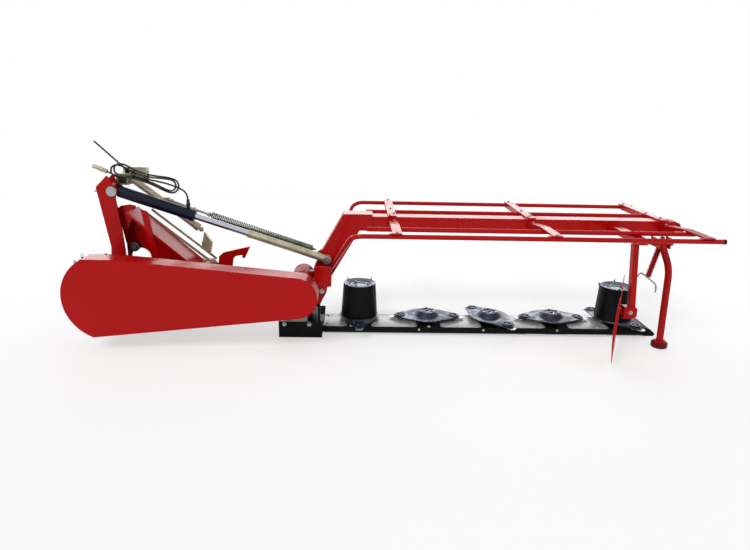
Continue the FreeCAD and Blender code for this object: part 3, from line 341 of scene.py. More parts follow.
def hose_rubber(name):
    """Hose cover with a fine grain and pale dust."""
    finish = Finish(name)
    dust = finish.noise(70, 4.0, 0.6).above(0.5, 0.8)
    finish.set(Base_Color=finish.mix(dust * 0.12, (0.004, 0.004, 0.0045), (0.12, 0.12, 0.12)),
               Roughness=0.34 + dust * 0.25, Specular_IOR_Level=0.35)
    finish.bump(finish.noise(900, 2.0), 0.2, 0.0003)
    return finish.material


FINISHES = {}


def finish_for(look):
    """The material of a look, which the finishes operator has to have made."""
    if look not in FINISHES:
        raise RuntimeError(f"no finish is made for {look}")
    return FINISHES[look]


# Modelling helpers

UP, AHEAD, REAR, OUT = (0, 0, 1), (0, 1, 0), (0, -1, 0), (1, 0, 0)
SMOOTH_ANGLE = math.radians(35.0)
WELD = 1e-6
PLATE_EDGE = 0.0008

# Shares of a bolt head's width across its flats

HEAD_HEIGHT = 0.62
HEAD_CORNER = 0.577
CHAMFER_CORNER = 0.49
WASHER_HEIGHT = 0.12
WASHER_RADIUS = 0.92


def along(start, end, at):
    """Matrix that stands +Z along a line, with its origin at a point."""
    turn = (Vector(end) - Vector(start)).to_track_quat("Z", "Y").to_matrix().to_4x4()
    return Matrix.Translation(at) @ turn


def round_circle(count, shift=0.0):
    """Cosines and sines of evenly spaced angles, the first one shifted by that share of a step."""
    angles = [math.tau * (number + shift) / count for number in range(count)]
    return [(math.cos(angle), math.sin(angle)) for angle in angles]


def around(verts, kind):
    """Edges or faces round some corners, each once and in the same order on every run."""
    return list(dict.fromkeys(item for vert in verts for item in getattr(vert, kind)))


def rod(bm, start, end, radius, tip=None, sides=24):
    """A round bar between two points, tapering to tip if that is given."""
    start, end = Vector(start), Vector(end)
    bmesh.ops.create_cone(bm, cap_ends=True, segments=sides, radius1=radius,
                          radius2=radius if tip is None else tip, depth=(end - start).length,
                          matrix=along(start, end, (start + end) / 2))


def block(bm, low, high, bevel=0.0):
    """A box between two corners, with rounded edges if there is a bevel."""
    low, high = Vector(low), Vector(high)
    made = bmesh.ops.create_cube(bm, size=1.0, matrix=Matrix.Translation((low + high) / 2) @ Matrix.Diagonal(
        (*(high - low), 1.0)))
    if bevel:
        bmesh.ops.bevel(bm, geom=around(made["verts"], "link_edges"), offset=bevel, segments=2, profile=0.5,
                        affect="EDGES", material=-1)
    return made


def bolt(bm, at, direction, across, height=None, washer=True):
    """A hexagon head with a chamfered top on a washer, standing on a surface."""
    at, direction = Vector(at), Vector(direction).normalized()
    height = across * HEAD_HEIGHT if height is None else height
    base = 0.0
    if washer:
        base = min(across * WASHER_HEIGHT, height * 0.3)
        rod(bm, at, at + direction * base, across * WASHER_RADIUS)
    shoulder = base + height * 0.8
    rod(bm, at + direction * base, at + direction * shoulder, across * HEAD_CORNER, sides=6)
    rod(bm, at + direction * shoulder, at + direction * (base + height), across * HEAD_CORNER,
        across * CHAMFER_CORNER, sides=6)


def revolved(bm, profile, centre, axis, steps):
    """Spins a profile of (radius, height) points round an axis through centre."""
    axis = Vector(axis).normalized()
    side = axis.orthogonal().normalized()
    verts = [bm.verts.new(Vector(centre) + side * radius + axis * height) for radius, height in profile]
    edges = [bm.edges.new(pair) for pair in zip(verts, verts[1:])]
    bmesh.ops.spin(bm, geom=verts + edges, cent=Vector(centre), axis=axis, angle=math.tau, steps=steps,
                   use_merge=True, use_duplicate=False)


def wire_section(bm, radius, sides, matrix):
    """The round section of a wire, ready to be spun."""
    verts = bmesh.ops.create_circle(bm, segments=sides, radius=radius, matrix=matrix)["verts"]
    return verts + around(verts, "link_edges")


def ring(bm, centre, axis, radius, wire):
    """A round wire bent to a ring about an axis."""
    axis = Vector(axis).normalized()
    side = axis.orthogonal().normalized()
    turn = Matrix((side, axis, side.cross(axis))).transposed().to_4x4()
    section = wire_section(bm, wire, 10, Matrix.Translation(Vector(centre) + side * radius) @ turn)
    bmesh.ops.spin(bm, geom=section, cent=Vector(centre), axis=axis, angle=math.tau, steps=28,
                   use_merge=True, use_duplicate=False)


def coil(bm, radius, wire, start, end, pitch, steps, sides=8):
    """A coil spring's turns between two heights on the Z axis."""
    turns = max(1, round((end - start) / pitch))
    section = wire_section(bm, wire, sides, Matrix.Translation((radius, 0, start))
                           @ Matrix.Rotation(math.pi / 2, 4, "X"))
    bmesh.ops.spin(bm, geom=section, cent=(0, 0, 0), axis=UP, dvec=(0, 0, (end - start) / (turns * steps)),
                   angle=math.tau * turns, steps=turns * steps)


def extruded(bm, points, vec):
    """Closes points to a face, extrudes it by a vector and gives back the new end's corners."""
    face = bm.faces.new([bm.verts.new(point) for point in points])
    grown = bmesh.ops.extrude_face_region(bm, geom=[face])["geom"]
    verts = [item for item in grown if isinstance(item, bmesh.types.BMVert)]
    bmesh.ops.translate(bm, vec=vec, verts=verts)
    return verts


def cover_plate(bm, outline, low, high):
    """A flat plate of a convex (x, y) outline, from height low to height high, with a soft upper edge."""
    verts = extruded(bm, [(x, y, low) for x, y in outline], (0, 0, high - low))
    top = [edge for edge in bm.edges if all(vert in verts for vert in edge.verts)]
    bmesh.ops.bevel(bm, geom=top, offset=PLATE_EDGE, segments=2, profile=0.5, affect="EDGES", material=-1)


def upright_plate(bm, outline, start, depth):
    """A plate of an (x, z) outline, from y = start ahead by depth."""
    extruded(bm, [(x, start, z) for x, z in outline], (0, depth, 0))


def dressed(made, look, body):
    """Puts an object in the scene with its finish and the body it rides on."""
    bpy.context.scene.collection.objects.link(made)
    made.data.materials.append(finish_for(look))
    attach(made, body)
    return made


def piece(name, bm, look, body, place=None):
    """Makes an object of a bmesh, welded and facing outwards; place moves it there first."""
    if place is not None:
        bmesh.ops.transform(bm, matrix=place, verts=bm.verts)
    bmesh.ops.remove_doubles(bm, verts=bm.verts, dist=WELD)
    bmesh.ops.recalc_face_normals(bm, faces=bm.faces)
    for face in bm.faces:
        face.smooth = True
    mesh = bpy.data.meshes.new(name)
    bm.to_mesh(mesh)
    bm.free()
    mesh.set_sharp_from_angle(angle=SMOOTH_ANGLE)
    return dressed(bpy.data.objects.new(name, mesh), look, body)


def nurbs(name, route, radius, look, body):
    """A smooth tube along a route, as a NURBS curve."""
    curve = bpy.data.curves.new(name, "CURVE")
    curve.dimensions = "3D"
    spline = curve.splines.new("NURBS")
    spline.points.add(len(route) - 1)
    for point, place in zip(spline.points, route):
        point.co = (*place, 1.0)
    spline.order_u = 3
    spline.use_endpoint_u = True
    spline.resolution_u = 8
    curve.bevel_depth = radius
    curve.bevel_resolution = 4
    curve.use_fill_caps = True
    return dressed(bpy.data.objects.new(name, curve), look, body)


# Places that several pieces share, in metres and degrees

DISC_X = (0.364, 0.805, 1.215, 1.625, 2.035)
DISC_TURN = (90.0, 0.0, 119.0, 0.0, 119.0)
DRUM_DISCS = (1, 5)
HUB_ROOM = 0.075
HUB_BOLT_CIRCLE = 0.046
KNIFE_REACH = 0.172
LID_TOP = 0.2900
LID_BOLT_CIRCLE = 0.053
BAR_TOP = 0.0572
COVER_START = 0.142
COVER_LOW, COVER_TOP = 0.0571, 0.0592
COVER_CORNER = 0.022
CROSSBAR_X = (0.565, 1.457, 2.318)
CROSSBAR_TOP = 0.7236
CROSSBAR_SHIFT = 0.014
REAR_RAIL_Y, FRONT_RAIL_Y, RAIL_Z = -0.430, 0.690, 0.700
LINCH_PIN, CLIP_WIRE = 0.0045, 0.0022
SPLINE_FOOT, SPLINE_END = Vector((-1.050, 0.092, 0.330)), Vector((-1.050, 0.149, 0.330))
DRIVE_HUB_X, DRIVE_HUB_Z, DRIVE_HUB_CIRCLE = 0.004, 0.337, 0.075
BOARD_PLACE, BOARD_TURN = (1.934, -0.290, 0), -25.9

# Looks of the frame's parts that aren't named after their slot in the record

OWN_LOOK = {
    **{f"disc_{number}": "disc_steel" for number in range(1, len(DISC_X) + 1)},
    "drive_housing": "gearbox",
    "hinge_housing": "red_paint",
    "cylinder_pin": "steel",
    "outer_leg": "leg_paint",
}

# The photograph's camera: place in metres, yaw, pitch and roll in degrees, lens in mm

CAMERA_PLACE = (0.345, -3.584, 1.417)
CAMERA_TURN = (1.86, 16.56, 1.31)
CAMERA_LENS = 28.09

# The floor's half side, its depth below the ground, and the way from the middle over which it turns white

FLOOR_SIDE = 60.0
FLOOR_DROP = 0.0005
FLOOR_FADE = (2.6, 6.5)

# The lamps, in metres and degrees: a wide sun, and a strip beyond the mower as the camera sees it

SUN_WAY, SUN_STRENGTH, SUN_ANGLE = (0.55, 0.85, -0.95), 1.7, 22
STRIP_PLACE, STRIP_TARGET = (0.4, 4.8, 1.95), (0.4, 0.0, 0.6)
STRIP_SIZE, STRIP_POWER = (9.0, 1.3), 110


# Operators


class MOWER_OT_stage(bpy.types.Operator):
    """Pale floor, soft light, white surroundings and the photograph's camera"""

    bl_idname = "mower.stage"
    bl_label = "Stage"

    def execute(self, context):
        self.camera(context)
        self.floor(context)
        self.surroundings(context)
        self.lamps(context)
        context.scene.view_settings.view_transform = "Standard"
        return {"FINISHED"}

    def floor(self, context):
        bm = bmesh.new()
        bmesh.ops.create_grid(bm, x_segments=1, y_segments=1, size=FLOOR_SIDE)
        mesh = bpy.data.meshes.new("floor")
        bm.to_mesh(mesh)
        bm.free()
        floor = bpy.data.objects.new("floor", mesh)
        floor.location.z = -FLOOR_DROP
        context.scene.collection.objects.link(floor)
        finish = Finish("pale_floor")
        tone = finish.mix(finish.noise(0.6, 2.0), (0.90, 0.90, 0.90), (0.93, 0.93, 0.93))
        finish.set(Base_Color=tone, Roughness=0.75, Specular_IOR_Level=0.2)
        far = finish.node("ShaderNodeVectorMath", {"operation": "LENGTH"}, {0: finish.place}, output=1)
        share = finish.seen() * (0.5 + far.above(*FLOOR_FADE) * 0.5)
        white = finish.node("ShaderNodeEmission", None, {"Color": (1, 1, 1), "Strength": 1.0})
        mixed = finish.node("ShaderNodeMixShader", None, {0: share, 1: finish.shader, 2: white})
        finish.feed(finish.output.inputs["Surface"], mixed)
        mesh.materials.append(finish.material)

    def surroundings(self, context):
        world = bpy.data.worlds.new("studio")
        context.scene.world = world
        world.use_nodes = True
        graph = Graph(world.node_tree)
        lit = graph.node("ShaderNodeBackground", None, {"Color": (0.98, 0.99, 1.0), "Strength": 0.62})
        white = graph.node("ShaderNodeBackground", None, {"Color": (1, 1, 1), "Strength": 1.0})
        mixed = graph.node("ShaderNodeMixShader", None, {0: graph.seen(), 1: lit, 2: white})
        graph.node("ShaderNodeOutputWorld", None, {"Surface": mixed})

    def lamps(self, context):
        sun = bpy.data.lights.new("key", "SUN")
        sun.energy = SUN_STRENGTH
        sun.angle = math.radians(SUN_ANGLE)
        key = bpy.data.objects.new("key", sun)
        key.matrix_world = self.facing(Vector(SUN_WAY))
        context.scene.collection.objects.link(key)
        strip = bpy.data.lights.new("back_strip", "AREA")
        strip.shape = "RECTANGLE"
        strip.size, strip.size_y = STRIP_SIZE
        strip.energy = STRIP_POWER
        back = bpy.data.objects.new("back_strip", strip)
        way = Vector(STRIP_TARGET) - Vector(STRIP_PLACE)
        back.matrix_world = Matrix.Translation(STRIP_PLACE) @ self.facing(way)
        back.visible_camera = False
        context.scene.collection.objects.link(back)

    def facing(self, way):
        """Matrix that turns a lamp to shine that way."""
        return way.to_track_quat("-Z", "Y").to_matrix().to_4x4()

    def camera(self, context):
        yaw, pitch, roll = (math.radians(angle) for angle in CAMERA_TURN)
        ahead = Vector((math.sin(yaw) * math.cos(pitch), math.cos(yaw) * math.cos(pitch), -math.sin(pitch)))
        level = Vector((math.cos(yaw), -math.sin(yaw), 0.0))
        upright = level.cross(ahead)
        right = level * math.cos(roll) + upright * math.sin(roll)
        up = upright * math.cos(roll) - level * math.sin(roll)
        data = bpy.data.cameras.new("camera")
        data.sensor_width = 36.0
        data.lens = CAMERA_LENS
        camera = bpy.data.objects.new("camera", data)
        turn = Matrix((right, up, -ahead)).transposed().to_4x4()
        camera.matrix_world = Matrix.Translation(CAMERA_PLACE) @ turn
        context.scene.collection.objects.link(camera)
        context.scene.camera = camera


class MOWER_OT_finishes(bpy.types.Operator):
    """Paint, plating, steel and rubber on every part of the frame"""

    bl_idname = "mower.finishes"
    bl_label = "Finishes"

    def execute(self, context):
        colours = context.scene.mower_colours
        bright = tuple(colours.bright)
        FINISHES.update(
            red_paint=gloss_paint("red_gloss", tuple(colours.red)),
            leg_paint=gloss_paint("leg_gloss", darker(colours.red, 0.8), foot=0.040),
            black_paint=satin_black("black_satin", tuple(colours.black)),
            blue_black_paint=gloss_paint("barrel_gloss", tuple(colours.barrel), 0.07, 0.12),
            disc_steel=disc_skin("disc_skin", tuple(colours.disc), tuple(colours.hub)),
            zinc=plated("zinc_plating", tuple(colours.zinc)),
            chrome_rod=ground_chrome("ground_chrome"),
            steel=bright_steel("worn_steel", darker(bright, 0.62)),
            galvanised=bright_steel("galvanised", darker(bright, 0.66), 0.36, metal=0.6),
            spring_steel=plated("spring_steel", (0.15, 0.16, 0.12), (0.06, 0.06, 0.045)),
            cast_housing=satin_black("cast_iron_painted", (0.010, 0.010, 0.011), 0.06),
            gearbox=satin_black("gearbox_paint", (0.004, 0.004, 0.0045), 0.05, darker(colours.red, 0.8)),
            hose_rubber=hose_rubber("hose_rubber"),
            hub_skin=gloss_paint("hub_skin", tuple(colours.hub), 0.08, 0.16),
            dull_steel=bright_steel("dull_steel", (0.16, 0.165, 0.18), 0.34, metal=0.7),
            lid_steel=bright_steel("lid_steel", tuple(colours.disc), 0.26, metal=0.7),
        )
        looks = {row["node"]: row["material_slot"] for row in frame["record"]["subparts"]}
        looks.update(OWN_LOOK)
        for name, node in NODES.items():
            node.data.materials.clear()
            node.data.materials.append(finish_for(looks[name]))
        return {"FINISHED"}


# The lift hose in metres: out of the barrel's port, twice round the hank, and out to the coupler

HOSE_PORT = (-0.700, 0.030, 0.7864)
HOSE_ROUTE = [
    HOSE_PORT, (-0.700, 0.030, 0.8154), (-0.708, 0.036, 0.8444), (-0.730, 0.046, 0.8654),
    (-0.757, 0.046, 0.8784),
    (-0.799, 0.047, 0.895), (-0.866, 0.048, 0.913), (-0.950, 0.049, 0.928), (-1.030, 0.051, 0.949),
    (-1.0995, 0.053, 0.940),
    (-1.133, 0.054, 0.9410), (-1.1496, 0.055, 0.9482), (-1.1601, 0.055, 0.9632), (-1.1617, 0.056, 0.9814),
    (-1.154, 0.057, 0.998), (-1.139, 0.058, 1.0085), (-1.1208, 0.058, 1.0101),
    (-1.0873, 0.059, 1.0022), (-1.029, 0.060, 0.966), (-0.953, 0.060, 0.941), (-0.896, 0.061, 0.935),
    (-0.841, 0.061, 0.931),
    (-0.800, 0.061, 0.925), (-0.7847, 0.061, 0.915), (-0.7764, 0.061, 0.8987), (-0.7774, 0.061, 0.8804),
    (-0.7874, 0.061, 0.8651), (-0.8037, 0.062, 0.8568), (-0.822, 0.063, 0.8578),
    (-0.8543, 0.064, 0.8715), (-0.911, 0.065, 0.901), (-0.975, 0.066, 0.922), (-1.035, 0.067, 0.940),
    (-1.0855, 0.068, 0.9445),
    (-1.119, 0.0685, 0.9475), (-1.1356, 0.069, 0.9542), (-1.1461, 0.069, 0.9692), (-1.1477, 0.070, 0.9874),
    (-1.140, 0.071, 1.004), (-1.125, 0.071, 1.0145), (-1.1068, 0.072, 1.0161),
    (-1.0733, 0.072, 1.0090), (-1.0156, 0.073, 0.974), (-0.943, 0.073, 0.951), (-0.8724, 0.073, 0.942),
    (-0.8253, 0.073, 0.9370),
    (-0.789, 0.073, 0.9275), (-0.7706, 0.071, 0.9155), (-0.7606, 0.067, 0.8959), (-0.7618, 0.063, 0.8739),
    (-0.7738, 0.060, 0.8554), (-0.7934, 0.057, 0.8454), (-0.8154, 0.055, 0.8466),
    (-0.8534, 0.052, 0.862), (-0.910, 0.048, 0.893), (-0.970, 0.044, 0.917), (-1.030, 0.040, 0.934),
    (-1.085, 0.037, 0.940), (-1.128, 0.037, 0.9495), (-1.157, 0.043, 0.9605), (-1.180, 0.046, 0.970),
]


class MOWER_OT_hose(bpy.types.Operator):
    """Lift hose: from the barrel's port into a tied hank and out to its coupler"""

    bl_idname = "mower.hose"
    bl_label = "Hose"

    def execute(self, context):
        sizes = context.scene.mower_sizes
        hose = nurbs("lift_hose", HOSE_ROUTE, sizes.hose / 2, "hose_rubber", "lift_barrel")
        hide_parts("hose", "hose_hank")
        ferrule, ties, collar = self.ferrule(), self.ties(), self.collar()
        return {"FINISHED"}

    def ferrule(self):
        bm = bmesh.new()
        revolved(bm, [(0.0062, 0.0), (0.0105, 0.0), (0.0105, 0.006), (0.0092, 0.008), (0.0098, 0.021),
                      (0.0074, 0.026), (0.0062, 0.026)], HOSE_PORT, UP, 32)
        x, y, z = HOSE_PORT
        rod(bm, (x, y, z - 0.012), (x, y, z - 0.0005), 0.0135, sides=6)
        return piece("hose_ferrule", bm, "hose_rubber", "lift_barrel")

    def ties(self):
        """Two flat straps round the hank: boxes with their sides opened."""
        bm = bmesh.new()
        for x, low, high in ((-0.950, 0.9045, 0.9590), (-1.030, 0.9265, 0.9860)):
            made = block(bm, (x - 0.004, 0.033, low), (x + 0.004, 0.080, high))
            sides = [face for face in around(made["verts"], "link_faces") if abs(face.normal.x) > 0.9]
            bmesh.ops.inset_individual(bm, faces=sides, thickness=0.0014, use_even_offset=True)
            loops = [edge for face in sides for edge in face.edges]
            bmesh.ops.delete(bm, geom=sides, context="FACES_ONLY")
            bmesh.ops.bridge_loops(bm, edges=loops)
        return piece("hose_ties", bm, "hose_rubber", "lift_barrel")

    def collar(self):
        """Hexagon and rings on the coupler, by their place and length as shares of its run."""
        bm = bmesh.new()
        start, end = Vector((-1.180, 0.046, 0.970)), Vector((-1.262, 0.046, 1.004))
        way = end - start
        for at, length, radius, sides in ((0.02, 0.20, 0.0145, 6), (0.30, 0.22, 0.0138, 36),
                                          (0.60, 0.05, 0.0132, 36)):
            rod(bm, start + way * at, start + way * (at + length), radius, sides=sides)
        rod(bm, start + way * 0.86, start + way * 1.0, 0.0126, 0.0105, sides=32)
        return piece("coupler_collar", bm, "zinc", "lift_barrel")


class MOWER_OT_springs(bpy.types.Operator):
    """Balance spring with its hooks and anchor, and the outer leg's return spring with its wire stay"""

    bl_idname = "mower.springs"
    bl_label = "Springs"

    def execute(self, context):
        self.balance(context.scene.mower_sizes.spring_wire / 2)
        self.anchor()
        self.leg()
        return {"FINISHED"}

    def balance(self, wire):
        start, end = Vector((-0.6037, 0.130, 0.7009)), Vector((0.076, 0.130, 0.479))
        outer, hook = 0.024, 0.020
        radius, length = outer - wire, (end - start).length
        bm = bmesh.new()
        coil(bm, radius, wire, hook, length - hook, wire * 2.7, steps=20)
        for base, sign in ((hook, -1), (length - hook, 1)):
            rod(bm, (radius, 0, base), (0, 0, base + sign * hook * 0.35), wire, sides=10)
            ring(bm, (0, 0, base + sign * hook * 0.40), AHEAD, 0.0115, wire * 0.9)
        spring = piece("coil_spring", bm, "spring_steel", "headstock",
                       along(start, end, start))
        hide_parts("balance_spring")
        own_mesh(spring)

    def anchor(self):
        """Nuts, thread and eye of the rod that holds the balance spring."""
        start, end = Vector((-0.841, 0.130, 0.785)), Vector((-0.604, 0.130, 0.701))
        way = (end - start).normalized()
        pitch, ridge = 0.0044, 0.0022
        bm = bmesh.new()
        for at, length in ((0.001, 0.012), (0.0145, 0.008), (0.150, 0.012)):
            rod(bm, start + way * at, start + way * (at + length), 0.0150, sides=6)
        for number in range(26):
            at = start + way * (0.030 + number * pitch)
            rod(bm, at, at + way * ridge, 0.0088, sides=20)
        ring(bm, end + way * 0.004, AHEAD, 0.012, 0.004)
        piece("anchor_nuts", bm, "zinc", "headstock")

    def leg(self):
        start, end = Vector((2.157, -0.242, 0.684)), Vector((2.096, -0.252, 0.436))
        length, margin = (end - start).length, 0.006
        radius, wire, pitch, core = 0.0150, 0.0030, 0.0085, 0.0110
        bm = bmesh.new()
        coil(bm, radius, wire, margin, length - margin, pitch, steps=14, sides=6)
        rod(bm, (0, 0, 0), (0, 0, length), core, sides=14)
        piece("leg_spring", bm, "red_paint", "cutting_unit", along(start, end, start))
        nurbs("leg_wire", [(1.996, -0.292, 0.440), (2.018, -0.278, 0.440), (2.043, -0.262, 0.468),
                           (2.068, -0.256, 0.454), (2.098, -0.256, 0.430), (2.137, -0.256, 0.405),
                           (2.159, -0.256, 0.378), (2.156, -0.256, 0.342)],
              0.0048, "steel", "cutting_unit")


class MOWER_OT_bar(bpy.types.Operator):
    """Galvanised cover plates and bolts of the cutter bar and the inner shoe"""

    bl_idname = "mower.bar"
    bl_label = "Cutter bar"

    def execute(self, context):
        size = context.scene.mower_sizes.bolt
        gaps = [(COVER_START, DISC_X[0] - HUB_ROOM)]
        gaps += [(left + HUB_ROOM, right - HUB_ROOM) for left, right in zip(DISC_X, DISC_X[1:])]
        self.covers(gaps)
        self.bolts(gaps, size)
        self.bracket(size)
        return {"FINISHED"}

    def covers(self, gaps):
        bm = bmesh.new()
        for left, right in gaps:
            inner_left, inner_right = left + COVER_CORNER, right - COVER_CORNER
            cover_plate(bm, [(left, -0.136), (inner_left, -0.150), (inner_right, -0.150), (right, -0.136),
                             (right, 0.040), (inner_right, 0.058), (inner_left, 0.058), (left, 0.040)],
                        COVER_LOW, COVER_TOP)
        piece("bar_cover_plates", bm, "galvanised", "cutting_unit")

    def bolts(self, gaps, size):
        """Bolts along the bar's rear edge, in the covers' corners, on its two faces and on the inner shoe."""
        bm = bmesh.new()
        for x in (0.313, 0.671, 0.805, 0.942, 1.080, 1.324, 1.477, 1.750, 1.884, 2.110):
            covered = any(left < x < right for left, right in gaps)
            bolt(bm, (x, -0.143, COVER_TOP if covered else BAR_TOP), UP, size, 0.0055)
        for left, right in gaps:
            for y in (-0.100, 0.030):
                for x in (left + 0.020, right - 0.020):
                    bolt(bm, (x, y, COVER_TOP), UP, size * 0.7, 0.0042)
        for x, z in ((0.383, 0.045), (0.742, 0.042), (1.150, 0.042), (1.621, 0.045), (1.990, 0.042)):
            bolt(bm, (x, -0.155, z), REAR, size * 0.6)
        for x in (-0.097, 0.056):
            bolt(bm, (x, -0.200, 0.086), REAR, size)
            bolt(bm, (x, -0.188, 0.060), AHEAD, size)
        for number in range(4):
            bolt(bm, (DISC_X[0] + number * 0.55, 0.0705, 0.036), AHEAD, size * 0.8)
        piece("bar_bolts", bm, "galvanised", "cutting_unit")

    def bracket(self, size):
        bm = bmesh.new()
        block(bm, (0.070, -0.112, 0.060), (0.104, -0.105, 0.172), 0.002)
        block(bm, (0.062, -0.150, 0.0575), (0.112, -0.105, 0.0635), 0.002)
        block(bm, (0.036, -0.112, 0.060), (0.042, -0.040, 0.110), 0.002)
        bolt(bm, (0.087, -0.132, 0.0635), UP, size * 0.9)
        bolt(bm, (0.087, -0.112, 0.150), REAR, size * 0.8)
        piece("column_bracket", bm, "dull_steel", "cutting_unit")


class MOWER_OT_discs(bpy.types.Operator):
    """Hub bolts, knife holders and drum lids on the discs"""

    bl_idname = "mower.discs"
    bl_label = "Discs"

    def execute(self, context):
        for number, (x, degrees) in enumerate(zip(DISC_X, DISC_TURN), start=1):
            place = Matrix.Translation((x, 0, 0)) @ Matrix.Rotation(math.radians(degrees), 4, "Z")
            self.holders(number, place)
            if number in DRUM_DISCS:
                self.drum(number, place)
            else:
                self.hub(number, place)
        return {"FINISHED"}

    def holders(self, number, place):
        bm = bmesh.new()
        for x in (KNIFE_REACH, -KNIFE_REACH):
            revolved(bm, [(0.0, 0.0840), (0.021, 0.0845), (0.0235, 0.0905), (0.0300, 0.0905),
                          (0.0345, 0.0850), (0.0345, 0.0800), (0.0, 0.0800)], (x, 0, 0), UP, 32)
            bolt(bm, (x, 0, 0.0842), UP, 0.022, 0.006, washer=False)
        piece(f"knife_holders_{number}", bm, "hub_skin", f"disc_{number}", place)
        bm = bmesh.new()
        for x in (KNIFE_REACH, -KNIFE_REACH):
            rod(bm, (x, 0, 0.0622), (x, 0, 0.0722), 0.0165, 0.020)
        piece(f"knife_bolts_{number}", bm, "dull_steel", f"disc_{number}", place)

    def hub(self, number, place):
        bm = bmesh.new()
        for cosine, sine in round_circle(6, 0.5):
            bolt(bm, (HUB_BOLT_CIRCLE * cosine, HUB_BOLT_CIRCLE * sine, 0.1155), UP, 0.013, 0.0065,
                 washer=False)
        piece(f"hub_bolts_{number}", bm, "steel", f"disc_{number}", place)
        bm = bmesh.new()
        revolved(bm, [(0.0, 0.108), (0.0352, 0.108), (0.0352, 0.1162), (0.0330, 0.1162), (0.028, 0.1125),
                      (0.020, 0.114), (0.013, 0.112), (0.0, 0.112)], (0, 0, 0), UP, 40)
        bolt(bm, (0, 0, 0.112), UP, 0.017, 0.006, washer=False)
        piece(f"hub_cap_{number}", bm, "hub_skin", f"disc_{number}", place)

    def drum(self, number, place):
        bm = bmesh.new()
        revolved(bm, [(0.0, 0.2845), (0.040, 0.2845), (0.046, LID_TOP), (0.060, LID_TOP), (0.066, 0.2862),
                      (0.0755, 0.2852), (0.0935, 0.2975), (0.0965, 0.3010), (0.1015, 0.3010),
                      (0.1020, 0.2990), (0.0955, 0.2990), (0.074, 0.2840), (0.0, 0.2840)],
                 (0, 0, 0), UP, 64)
        for cosine, sine in round_circle(3, 0.25):
            bolt(bm, (LID_BOLT_CIRCLE * cosine, LID_BOLT_CIRCLE * sine, LID_TOP), UP, 0.013, 0.006)
        piece(f"drum_lid_{number}", bm, "lid_steel", f"disc_{number}", place)
        bm = bmesh.new()
        for cosine, sine in round_circle(4, 0.5):
            outward = Vector((cosine, sine, 0))
            spike = [outward * radius + Vector((0, 0, z)) for radius, z in ((0.100, 0.290), (0.114, 0.3135))]
            rib = [outward * radius + Vector((0, 0, z)) for radius, z in ((0.1138, 0.100), (0.1035, 0.285))]
            rod(bm, *spike, 0.008, 0.0015, 4)
            rod(bm, *rib, 0.0035, sides=8)
        piece(f"drum_fins_{number}", bm, "black_paint", f"disc_{number}", place)


